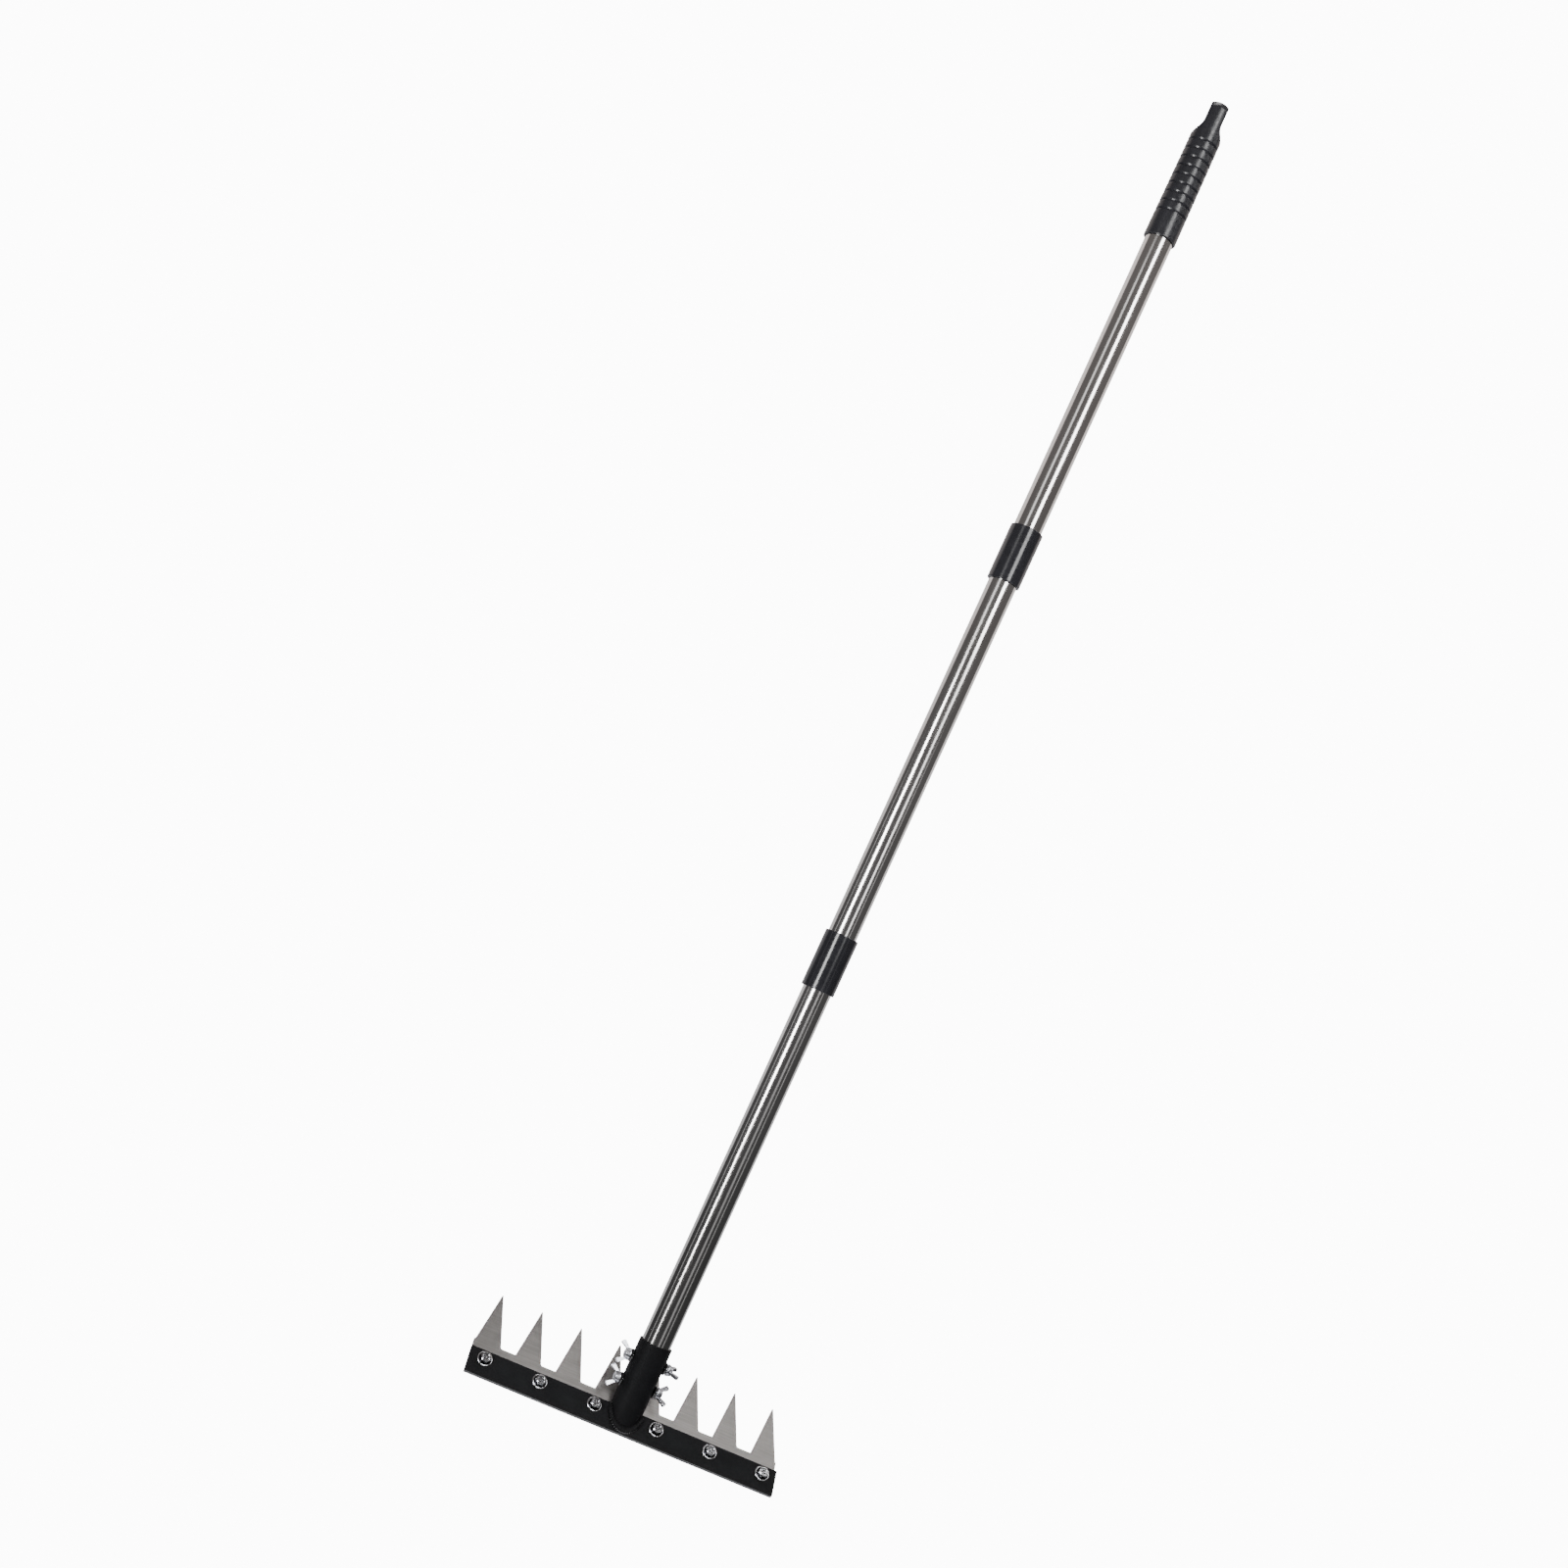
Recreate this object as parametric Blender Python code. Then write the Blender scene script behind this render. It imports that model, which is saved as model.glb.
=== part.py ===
"""Dethatching rake: a toothed blade bolted to a bar, on a pole of three tubes screwed together.

Z runs up the pole, the teeth point to +Y, and the origin is the hole that the rake hangs by.
"""

import math

import bmesh
import bpy
from mathutils import Matrix

MM = 0.001

# Gap left between pieces that touch
GAP = 0.3 * MM

# Pole tubes
TUBE_RADIUS = 12.7 * MM
TUBE_WALL = 0.8 * MM
TUBE_BORE = TUBE_RADIUS - TUBE_WALL

# Heights along the pole, read down from the hanging hole
GRIP_TOP = 8.0 * MM
TAB_FLARE_TOP = -15.0 * MM
GRIP_SHOULDER = -27.2 * MM
UPPER_TUBE_TOP = -38.0 * MM
GRIP_END = -128.5 * MM
UPPER_COLLAR_TOP = -412.0 * MM
LOWER_COLLAR_TOP = -795.0 * MM
SOCKET_TOP = -1165.5 * MM
SCREW_HEIGHTS = {"upper": -1182.0 * MM, "lower": -1202.5 * MM}
LOWER_TUBE_END = -1208.0 * MM
AXIS_ON_BAR = -1220.4 * MM

# Grip
GRIP_RADIUS_LOW = 14.8 * MM
GRIP_RADIUS_HIGH = 13.9 * MM
GRIP_DOME_RADIUS = 15.2 * MM
DOME_STEPS = 7
# The tab's flats are turned from the blade's length, as the screwed pole leaves them
TAB_TURN = math.radians(-14.5)
TAB_HALF_THICKNESS = 8.0 * MM
# Below its flats the tab flares out to the shoulder, in a hollow curve and then a straight slope
TAB_FLARE_RADIUS = 12.0 * MM
TAB_FLARE_SLOPE = math.radians(35.0)
TAB_FLARE_STEPS = 6
HANG_HOLE_RADIUS = 3.6 * MM
GROOVES = 9
GROOVE_PITCH = 8.75 * MM
GROOVE_FIRST = -34.0 * MM
GROOVE_HALF_WIDTH = 1.25 * MM
GROOVE_FLOOR_HALF_WIDTH = 0.5 * MM
GROOVE_DEPTH = 0.9 * MM
GRIP_EDGE = 0.8 * MM

# Screwed joints between the tubes
COLLAR_LENGTH = 50.8 * MM
COLLAR_RADIUS = 14.8 * MM
COLLAR_SEAT = 20.0 * MM
COLLAR_THREAD_LENGTH = 19.5 * MM
THREAD_RADIUS = 11.1 * MM
THREAD_PITCH = 5.0 * MM
THREAD_DEPTH = 1.1 * MM
PLUG_FLANGE = 1.5 * MM
PLUG_INSERT = 25.0 * MM
PLUG_BORE = 8.0 * MM
PLUG_CAP = 2.5 * MM
PLUG_CHAMFER = 1.0 * MM
PLUG_TIP_CHAMFER = 0.8 * MM
PLUG_TOP_CLEARANCE = 1.0 * MM
# Each thread ridge rises, runs flat and falls within one pitch, below a plain tip
PLUG_PLAIN_TIP = 1.2 * MM
RIDGE_RISE = 0.30 * THREAD_PITCH
RIDGE_FLAT_END = 0.45 * THREAD_PITCH
RIDGE_FALL = 0.75 * THREAD_PITCH
COLLAR_EDGE = 0.6 * MM

# Head: the blade's plane leans back from the pole
BLADE_LEAN = math.radians(40.0)
AXIS_ABOVE_BAR_EDGE = 26.5 * MM
BAR_LENGTH = 280.0 * MM
BAR_HEIGHT = 23.2 * MM
BAR_THICKNESS = 4.0 * MM
BAR_EDGE = 0.5 * MM
BLADE_LENGTH = 278.4 * MM
BLADE_THICKNESS = 2.0 * MM
BLADE_FOOT = 1.5 * MM
VALLEY_HEIGHT = 31.8 * MM
TOOTH_LENGTH = 45.8 * MM
TOOTH_BASE = 23.0 * MM
TOOTH_PITCH = 36.25 * MM
TEETH = 8
TIP_HALF_WIDTH = 0.35 * MM
VALLEY_FILLET = 1.2 * MM

# Hexagon flange bolts and nuts, M6
BOLT_OFFSETS = (-126.8 * MM, -77.7 * MM, -28.3 * MM, 28.3 * MM, 77.7 * MM, 126.8 * MM)
BOLT_HEIGHT = 15.3 * MM
BOLT_RADIUS = 3.0 * MM
BOLT_HOLE_RADIUS = 3.3 * MM
BOLT_LENGTH = 16.0 * MM
BOLT_TIP_CHAMFER = 0.7 * MM
FLANGE_RADIUS = 6.6 * MM
FLANGE_RIM = 1.2 * MM
BOLT_ACROSS_FLATS = 8.0 * MM
NUT_ACROSS_FLATS = 10.0 * MM
# A hexagon's corners are turned off to a circle a little smaller than its flats
HEX_TOP_SHARE = 0.47
# The flange rises in a cone to the hexagon's foot
BOLT_FLANGE_TOP_RADIUS = 4.8 * MM
NUT_FLANGE_TOP_RADIUS = 5.6 * MM
BOLT_HEAD_HEIGHT = 5.0 * MM
NUT_HEIGHT = 6.0 * MM

# Socket and its clamping screws, M6
SOCKET_RADIUS = 14.4 * MM
SOCKET_BORE = TUBE_RADIUS + GAP
SOCKET_NUT_HEIGHT = 1.6 * MM
SCREW_RADIUS = 3.0 * MM
SCREW_HOLE_RADIUS = SCREW_RADIUS + GAP
# The left screws are driven further in than the right ones
WING_SEATS = {"left": 16.6 * MM, "right": 17.4 * MM}
STUD_LENGTH = 6.4 * MM
STUD_TIP_CHAMFER = 0.6 * MM
WING_HUB_RADIUS = 5.0 * MM
WING_HUB_TOP_RADIUS = 4.0 * MM
WING_HUB_HEIGHT = 5.0 * MM
WING_HUB_FOOT = 1.0 * MM
WING_HUB_SHOULDER = 4.25 * MM
WING_HUB_CAP_RADIUS = 2.8 * MM
WING_SOCKET_DEPTH = 3.2 * MM
WING_HALF_THICKNESS = 1.35 * MM
WING_SOFT_EDGE = 0.3 * MM
# Each wing is a square-ended finger that leans out from the hub, read across and up from its seat
WING_ROOT = 3.7 * MM
WING_ROOT_LOW = 0.8 * MM
WING_ROOT_HIGH = 4.6 * MM
WING_NECK = (4.4 * MM, 6.0 * MM)
WING_TIP = (8.7 * MM, 9.3 * MM)
WING_SLOPE = math.radians(50.0)
WING_HALF_WIDTH = 2.0 * MM
WING_CORNER = 0.6 * MM
# Turn of each wing pair from the pole's direction, in degrees
WING_TURNS = {
    ("upper", "left"): 20.0,
    ("lower", "left"): 24.0,
    ("upper", "right"): 78.0,
    ("lower", "right"): 46.0,
}
WELD_RADIUS = 1.7 * MM
WELD_POINTS = 22

# Faces round a turned piece
STEPS_LARGE = 32
STEPS_FLANGE = 18
STEPS_SMALL = 14

# Faces that meet at more than this angle keep a sharp edge
SHARP_ANGLE = math.radians(32.0)

# How far a drill or a cutter runs past the piece that it cuts
CUT_REACH = 30.0 * MM

SIDES = {"left": -1.0, "right": 1.0}

for old in list(bpy.data.objects):
    bpy.data.objects.remove(old, do_unlink=True)


def material(name, colour, metallic, roughness):
    """A plain Principled material of the piece's own colour."""
    made = bpy.data.materials.new(name)
    made.use_nodes = True
    shader = made.node_tree.nodes["Principled BSDF"]
    shader.inputs["Base Color"].default_value = (*colour, 1.0)
    shader.inputs["Metallic"].default_value = metallic
    shader.inputs["Roughness"].default_value = roughness
    return made


def place(name, mesh, finish, location=(0.0, 0.0, 0.0), turn=(0.0, 0.0, 0.0), parent=None):
    """An object of the given mesh, with its finish and its place."""
    placed = bpy.data.objects.new(name, mesh)
    bpy.context.scene.collection.objects.link(placed)
    if not mesh.materials:
        mesh.materials.append(finish)
    placed.location = location
    placed.rotation_euler = turn
    placed.parent = parent
    return placed


def finished_mesh(bm, name):
    """The bmesh as mesh data, shaded smooth except at its edges."""
    bmesh.ops.remove_doubles(bm, verts=bm.verts, dist=0.001 * MM)
    bmesh.ops.recalc_face_normals(bm, faces=bm.faces)
    mesh = bpy.data.meshes.new(name)
    bm.to_mesh(mesh)
    bm.free()
    mesh.shade_smooth()
    mesh.set_sharp_from_angle(angle=SHARP_ANGLE)
    return mesh


def turned(name, outline, steps, ring=False):
    """A mesh turned round Z from (radius, height) corners. A ring's outline is closed."""
    bm = bmesh.new()
    corners = [bm.verts.new((radius, 0.0, height)) for radius, height in outline]
    edges = [bm.edges.new(pair) for pair in zip(corners, corners[1:])]
    if ring:
        edges.append(bm.edges.new((corners[-1], corners[0])))
    bmesh.ops.spin(
        bm,
        geom=corners + edges,
        cent=(0.0, 0.0, 0.0),
        axis=(0.0, 0.0, 1.0),
        angle=math.tau,
        steps=steps,
        use_merge=True,
    )
    return finished_mesh(bm, name)


def plate(name, outline, low, high, bevel=0.0):
    """A mesh with a flat outline in XY, between two heights, its long edges softened."""
    bm = bmesh.new()
    face = bm.faces.new([bm.verts.new((x, y, low)) for x, y in outline])
    walls = bmesh.ops.extrude_face_region(bm, geom=[face])
    raised = [item for item in walls["geom"] if isinstance(item, bmesh.types.BMVert)]
    bmesh.ops.translate(bm, verts=raised, vec=(0.0, 0.0, high - low))
    bmesh.ops.recalc_face_normals(bm, faces=bm.faces)
    if bevel:
        rims = [edge for edge in bm.edges if abs(edge.verts[0].co.z - edge.verts[1].co.z) < GAP]
        bmesh.ops.bevel(bm, geom=rims, offset=bevel, segments=1, profile=0.5, affect="EDGES")
    return finished_mesh(bm, name)


def combined(mesh, tools, operation):
    """The mesh after cutting it with other meshes, or joining them to it."""
    target = bpy.data.objects.new("target", mesh)
    bpy.context.scene.collection.objects.link(target)
    helpers = []
    for tool in tools:
        helper = bpy.data.objects.new("tool", tool)
        helper.hide_render = True
        helper.display_type = "WIRE"
        bpy.context.scene.collection.objects.link(helper)
        step = target.modifiers.new("combine", "BOOLEAN")
        step.operation = operation
        step.solver = "EXACT"
        step.object = helper
        helpers.append(helper)
    graph = bpy.context.evaluated_depsgraph_get()
    result = bpy.data.meshes.new_from_object(target.evaluated_get(graph))
    for helper in helpers + [target]:
        bpy.data.objects.remove(helper, do_unlink=True)
    result.materials.clear()
    result.shade_smooth()
    result.set_sharp_from_angle(angle=SHARP_ANGLE)
    return result


def moved(mesh, matrix):
    """A copy of the mesh, moved or turned."""
    copy = mesh.copy()
    copy.transform(matrix)
    return copy


def rod(name, radius, low, high, steps):
    """A plain round rod along Z."""
    return turned(name, [(0.0, low), (radius, low), (radius, high), (0.0, high)], steps)


def along_x(x=0.0, y=0.0, z=0.0, side=1.0):
    """The matrix that lays a mesh's +Z along X, towards the given side, at a point."""
    return Matrix.Translation((x, y, z)) @ Matrix.Rotation(side * math.pi / 2.0, 4, "Y")


# Finishes
GRIP_BLACK = material("grip_plastic", (0.010, 0.010, 0.011), 0.0, 0.38)
COLLAR_BLACK = material("collar_plastic", (0.008, 0.008, 0.009), 0.0, 0.32)
PLUG_BLACK = material("plug_plastic", (0.012, 0.012, 0.012), 0.0, 0.45)
POLISHED = material("polished_stainless", (0.60, 0.58, 0.56), 1.0, 0.16)
BRUSHED = material("brushed_stainless", (0.36, 0.34, 0.33), 1.0, 0.42)
COATED = material("black_coated_steel", (0.010, 0.010, 0.011), 0.0, 0.40)
ZINC = material("zinc_plate", (0.66, 0.66, 0.68), 1.0, 0.25)


# Grip: a moulding turned round the tube's top, with a flat tab cut on its upper end
def grip_radius(height):
    """The grip swells slightly from its shoulder to its lower end."""
    share = (GRIP_SHOULDER - height) / (GRIP_SHOULDER - GRIP_END)
    return GRIP_RADIUS_HIGH + share * (GRIP_RADIUS_LOW - GRIP_RADIUS_HIGH)


def grip_outline():
    """The grip's domed top and outer side from the top down, then the bore for the tube."""
    dome_middle = GRIP_TOP - GRIP_DOME_RADIUS
    dome_end = math.asin(GRIP_RADIUS_HIGH / GRIP_DOME_RADIUS)
    corners = []
    for step in range(DOME_STEPS + 1):
        angle = dome_end * step / DOME_STEPS
        height = dome_middle + GRIP_DOME_RADIUS * math.cos(angle)
        corners.append((GRIP_DOME_RADIUS * math.sin(angle), height))
    for groove in range(GROOVES):
        middle = GROOVE_FIRST - groove * GROOVE_PITCH
        floor = grip_radius(middle) - GROOVE_DEPTH
        upper = middle + GROOVE_HALF_WIDTH
        lower = middle - GROOVE_HALF_WIDTH
        corners.append((grip_radius(upper), upper))
        corners.append((floor, middle + GROOVE_FLOOR_HALF_WIDTH))
        corners.append((floor, middle - GROOVE_FLOOR_HALF_WIDTH))
        corners.append((grip_radius(lower), lower))
    corners.append((GRIP_RADIUS_LOW, GRIP_END + GRIP_EDGE))
    corners.append((GRIP_RADIUS_LOW - GRIP_EDGE, GRIP_END))
    corners.append((TUBE_RADIUS + GAP, GRIP_END))
    corners.append((TUBE_RADIUS + GAP, UPPER_TUBE_TOP + GAP))
    corners.append((0.0, UPPER_TUBE_TOP + GAP))
    return corners


def tab_cutter():
    """The space cut away beside the tab: a flat side, a hollow curve and a straight slope."""
    outline = [(TAB_HALF_THICKNESS, CUT_REACH)]
    for step in range(TAB_FLARE_STEPS + 1):
        angle = TAB_FLARE_SLOPE * step / TAB_FLARE_STEPS
        out = TAB_HALF_THICKNESS + TAB_FLARE_RADIUS * (1.0 - math.cos(angle))
        height = TAB_FLARE_TOP - TAB_FLARE_RADIUS * math.sin(angle)
        outline.append((out, height))
    outline.append((CUT_REACH, height - (CUT_REACH - out) / math.tan(TAB_FLARE_SLOPE)))
    outline.append((CUT_REACH, CUT_REACH))
    mesh = plate("tab_cutter", outline, -CUT_REACH, CUT_REACH)
    return moved(mesh, Matrix.Rotation(math.pi / 2.0, 4, "X"))


def grip_mesh():
    """The moulding: turned blank, two sides cut away and the hanging hole drilled."""
    blank = turned("grip_blank", grip_outline(), STEPS_LARGE)
    beside = tab_cutter()
    other = moved(beside, Matrix.Rotation(math.pi, 4, "Z"))
    drill = rod("hang_hole", HANG_HOLE_RADIUS, -CUT_REACH, CUT_REACH, STEPS_FLANGE)
    mesh = combined(blank, [beside, other, moved(drill, along_x())], "DIFFERENCE")
    return moved(mesh, Matrix.Rotation(TAB_TURN, 4, "Z"))


place("hanging_grip", grip_mesh(), GRIP_BLACK)


# Tubes: thin drawn tube, open at both ends
def tube_mesh(name, top, end):
    """A tube hanging down from its own origin's height, between two heights."""
    outline = [(TUBE_BORE, top), (TUBE_RADIUS, top), (TUBE_RADIUS, end), (TUBE_BORE, end)]
    return turned(name, outline, STEPS_LARGE, ring=True)


def joint_heights(collar_top):
    """Where the upper tube ends, the collar's inner step lies and the lower tube begins."""
    seat_end = collar_top - COLLAR_SEAT
    step = seat_end - GAP - COLLAR_THREAD_LENGTH
    return seat_end, step, step - 2.0 * GAP - PLUG_FLANGE


upper_seat, upper_step, middle_top = joint_heights(UPPER_COLLAR_TOP)
lower_seat, lower_step, lower_top = joint_heights(LOWER_COLLAR_TOP)

place("upper_tube", tube_mesh("upper_tube", UPPER_TUBE_TOP, upper_seat), POLISHED)
middle_tube = tube_mesh("middle_tube", 0.0, lower_seat - middle_top)
place("middle_tube", middle_tube, POLISHED, (0.0, 0.0, middle_top))
lower_tube = tube_mesh("lower_tube", 0.0, LOWER_TUBE_END - lower_top)
place("lower_tube", lower_tube, POLISHED, (0.0, 0.0, lower_top))


# Collars: plastic sleeves fixed on the tube above, with a thread for the tube below
def collar_mesh():
    """A collar hanging from its top, whose middle is narrowed for the thread."""
    slip = TUBE_RADIUS + GAP
    thread = THREAD_RADIUS + GAP
    seat = -COLLAR_SEAT - GAP
    step = seat - COLLAR_THREAD_LENGTH
    outline = [
        (slip, 0.0),
        (COLLAR_RADIUS - COLLAR_EDGE, 0.0),
        (COLLAR_RADIUS, -COLLAR_EDGE),
        (COLLAR_RADIUS, COLLAR_EDGE - COLLAR_LENGTH),
        (COLLAR_RADIUS - COLLAR_EDGE, -COLLAR_LENGTH),
        (slip, -COLLAR_LENGTH),
        (slip, step),
        (thread, step),
        (thread, seat),
        (slip, seat),
    ]
    return turned("collar", outline, STEPS_LARGE, ring=True)


collar = collar_mesh()
place("upper_collar", collar, COLLAR_BLACK, (0.0, 0.0, UPPER_COLLAR_TOP))
place("lower_collar", collar, COLLAR_BLACK, (0.0, 0.0, LOWER_COLLAR_TOP))


# Thread plugs: hollow mouldings pressed into the tube below, standing up into the collar
def plug_mesh():
    """A plug whose flange rests on the tube's top, at the origin."""
    root = THREAD_RADIUS - THREAD_DEPTH
    insert = TUBE_BORE - GAP
    flange = GAP + PLUG_FLANGE
    top = flange + COLLAR_THREAD_LENGTH - PLUG_TOP_CLEARANCE
    outline = [(0.0, top), (root - PLUG_TIP_CHAMFER, top)]
    ridge = top - PLUG_PLAIN_TIP
    while ridge - THREAD_PITCH > flange:
        outline.append((root, ridge))
        outline.append((THREAD_RADIUS, ridge - RIDGE_RISE))
        outline.append((THREAD_RADIUS, ridge - RIDGE_FLAT_END))
        outline.append((root, ridge - RIDGE_FALL))
        ridge -= THREAD_PITCH
    outline += [(root, flange), (TUBE_RADIUS, flange), (TUBE_RADIUS, GAP), (insert, GAP)]
    outline += [(insert, 2.0 * PLUG_CHAMFER - PLUG_INSERT), (insert - PLUG_CHAMFER, -PLUG_INSERT)]
    outline += [(PLUG_BORE, -PLUG_INSERT), (PLUG_BORE, top - PLUG_CAP), (0.0, top - PLUG_CAP)]
    return turned("thread_plug", outline, STEPS_FLANGE)


plug = plug_mesh()
place("upper_thread_plug", plug, PLUG_BLACK, (0.0, 0.0, middle_top))
place("lower_thread_plug", plug, PLUG_BLACK, (0.0, 0.0, lower_top))

# Head frame: X along the bar, Y up its front face from the lower edge, Z out of that face
head = bpy.data.objects.new("head_frame", None)
bpy.context.scene.collection.objects.link(head)
head.rotation_euler = (math.pi / 2.0 - BLADE_LEAN, 0.0, 0.0)
head.location = (
    0.0,
    -AXIS_ABOVE_BAR_EDGE * math.sin(BLADE_LEAN),
    AXIS_ON_BAR - AXIS_ABOVE_BAR_EDGE * math.cos(BLADE_LEAN),
)


def bolt_holes(name):
    """Rods that cut the six bolt holes."""
    drill = rod(name, BOLT_HOLE_RADIUS, -CUT_REACH, CUT_REACH, STEPS_SMALL)
    return [moved(drill, Matrix.Translation((x, BOLT_HEIGHT, 0.0))) for x in BOLT_OFFSETS]


# Bar: flat steel, drilled for the bolts
half_bar = BAR_LENGTH / 2.0
bar_outline = [(-half_bar, 0.0), (half_bar, 0.0), (half_bar, BAR_HEIGHT), (-half_bar, BAR_HEIGHT)]
bar = plate("head_bar", bar_outline, -BAR_THICKNESS, 0.0, bevel=BAR_EDGE)
place("head_bar", combined(bar, bolt_holes("bar_drill"), "DIFFERENCE"), COATED, parent=head)


# Blade: one sheet, cut with teeth along its upper edge
def blade_outline():
    """Round the blade: along its foot, up the right end, and back over the teeth."""
    half = BLADE_LENGTH / 2.0
    corners = [(-half, BLADE_FOOT), (half, BLADE_FOOT), (half, VALLEY_HEIGHT)]
    slope = math.atan2(TOOTH_LENGTH, TOOTH_BASE / 2.0 - TIP_HALF_WIDTH)
    rise = VALLEY_FILLET * math.sin(slope)
    run = VALLEY_FILLET * math.cos(slope)
    for tooth in reversed(range(TEETH)):
        middle = (tooth - (TEETH - 1) / 2.0) * TOOTH_PITCH
        right = middle + TOOTH_BASE / 2.0
        left = middle - TOOTH_BASE / 2.0
        if tooth < TEETH - 1:
            corners.append((right + VALLEY_FILLET, VALLEY_HEIGHT))
            corners.append((right + 0.25 * VALLEY_FILLET, VALLEY_HEIGHT + 0.2 * VALLEY_FILLET))
        corners.append((right - run, VALLEY_HEIGHT + rise))
        corners.append((middle + TIP_HALF_WIDTH, VALLEY_HEIGHT + TOOTH_LENGTH))
        corners.append((middle - TIP_HALF_WIDTH, VALLEY_HEIGHT + TOOTH_LENGTH))
        corners.append((left + run, VALLEY_HEIGHT + rise))
        if tooth > 0:
            corners.append((left - 0.25 * VALLEY_FILLET, VALLEY_HEIGHT + 0.2 * VALLEY_FILLET))
            corners.append((left - VALLEY_FILLET, VALLEY_HEIGHT))
    corners.append((-half, VALLEY_HEIGHT))
    return corners


blade_face = -BAR_THICKNESS - GAP
blade_back = blade_face - BLADE_THICKNESS
blade = plate("blade", blade_outline(), blade_back, blade_face)
place("blade", combined(blade, bolt_holes("blade_drill"), "DIFFERENCE"), BRUSHED, parent=head)


# Bolts and nuts: a hexagon on a round flange
def hexagon(name, across, low, high):
    """A hexagon of a width across its flats, whose upper corners are turned off."""
    corner = across / math.sqrt(3.0)
    points = [(corner * math.cos(math.tau * k / 6.0), corner * math.sin(math.tau * k / 6.0))
              for k in range(6)]
    prism = plate(name, points, low, high)
    wide = corner + GAP
    outline = [(0.0, low - MM), (wide, low - MM), (wide, high - MM)]
    outline += [(HEX_TOP_SHARE * across, high + GAP / 3.0), (0.0, high + GAP / 3.0)]
    form = turned(name + "_form", outline, STEPS_FLANGE)
    # Half a step round, so that no corner of the form lies on a corner of the hexagon
    form.transform(Matrix.Rotation(math.pi / STEPS_FLANGE, 4, "Z"))
    return combined(prism, [form], "INTERSECT")


def bolt_mesh():
    """A bolt whose flange rests at the origin, with its shank down."""
    outline = [
        (0.0, -BOLT_LENGTH),
        (BOLT_RADIUS - BOLT_TIP_CHAMFER, -BOLT_LENGTH),
        (BOLT_RADIUS, BOLT_TIP_CHAMFER - BOLT_LENGTH),
        (BOLT_RADIUS, 0.0),
        (FLANGE_RADIUS, 0.0),
        (FLANGE_RADIUS, 0.4 * FLANGE_RIM),
        (BOLT_FLANGE_TOP_RADIUS, 1.5 * FLANGE_RIM),
        (0.0, 1.5 * FLANGE_RIM),
    ]
    body = turned("bolt_body", outline, STEPS_FLANGE)
    hexagon_head = hexagon("bolt_hex", BOLT_ACROSS_FLATS, FLANGE_RIM, BOLT_HEAD_HEIGHT)
    return combined(body, [hexagon_head], "UNION")


def nut_mesh():
    """A flange nut whose flange rests at the origin."""
    outline = [
        (0.0, 0.0),
        (FLANGE_RADIUS, 0.0),
        (FLANGE_RADIUS, 0.4 * FLANGE_RIM),
        (NUT_FLANGE_TOP_RADIUS, 1.5 * FLANGE_RIM),
        (0.0, 1.5 * FLANGE_RIM),
    ]
    body = turned("nut_body", outline, STEPS_FLANGE)
    body = combined(body, [hexagon("nut_hex", NUT_ACROSS_FLATS, FLANGE_RIM, NUT_HEIGHT)], "UNION")
    thread = rod("nut_thread", BOLT_HOLE_RADIUS, -MM, NUT_HEIGHT + MM, STEPS_SMALL)
    return combined(body, [thread], "DIFFERENCE")


bolt = bolt_mesh()
nut = nut_mesh()
half_turn = (math.pi, 0.0, 0.0)
for number, offset in enumerate(BOLT_OFFSETS, start=1):
    place(f"blade_bolt_{number}", bolt, ZINC, (offset, BOLT_HEIGHT, GAP), parent=head)
    behind = (offset, BOLT_HEIGHT, blade_back - GAP)
    place(f"blade_nut_{number}", nut, ZINC, behind, half_turn, parent=head)


# Socket: a tube cut on the slant to stand on the bar's face, with holes for four screws
def socket_mesh():
    """The socket round the pole's axis, from the point where that axis meets the bar's face."""
    outline = [(SOCKET_BORE, 0.0), (SOCKET_RADIUS, 0.0)]
    outline += [(SOCKET_RADIUS, SOCKET_TOP - AXIS_ON_BAR), (SOCKET_BORE, SOCKET_TOP - AXIS_ON_BAR)]
    mesh = turned("socket", outline, STEPS_LARGE, ring=True)
    lift = GAP / math.sin(BLADE_LEAN)
    for vertex in mesh.vertices:
        if vertex.co.z < GAP:
            vertex.co.z = vertex.co.y / math.tan(BLADE_LEAN) + lift
    drill = rod("screw_drill", SCREW_HOLE_RADIUS, -CUT_REACH, CUT_REACH, STEPS_SMALL)
    drills = [moved(drill, along_x(z=height - AXIS_ON_BAR)) for height in SCREW_HEIGHTS.values()]
    return combined(mesh, drills, "DIFFERENCE")


place("socket", socket_mesh(), COATED, (0.0, 0.0, AXIS_ON_BAR))


# Weld: a bead round the socket's foot, as far as the bar reaches
def weld_curve():
    """A round bead that touches the bar's face and the socket's side all along."""
    rise = WELD_RADIUS + GAP
    reach = SOCKET_RADIUS + rise
    middle = AXIS_ABOVE_BAR_EDGE + rise / math.tan(BLADE_LEAN)
    height_limit = BAR_HEIGHT - WELD_RADIUS
    end = math.asin((height_limit - middle) * math.sin(BLADE_LEAN) / reach)
    start = -math.pi - end
    curve = bpy.data.curves.new("socket_weld", "CURVE")
    curve.dimensions = "3D"
    curve.bevel_depth = WELD_RADIUS
    curve.bevel_resolution = 2
    curve.use_fill_caps = True
    bead = curve.splines.new("POLY")
    bead.points.add(WELD_POINTS - 1)
    for index, point in enumerate(bead.points):
        angle = start + (end - start) * index / (WELD_POINTS - 1)
        across = reach * math.cos(angle)
        up = middle + reach / math.sin(BLADE_LEAN) * math.sin(angle)
        point.co = (across, up, rise, 1.0)
    return curve


place("socket_weld", weld_curve(), COATED, parent=head)


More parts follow.
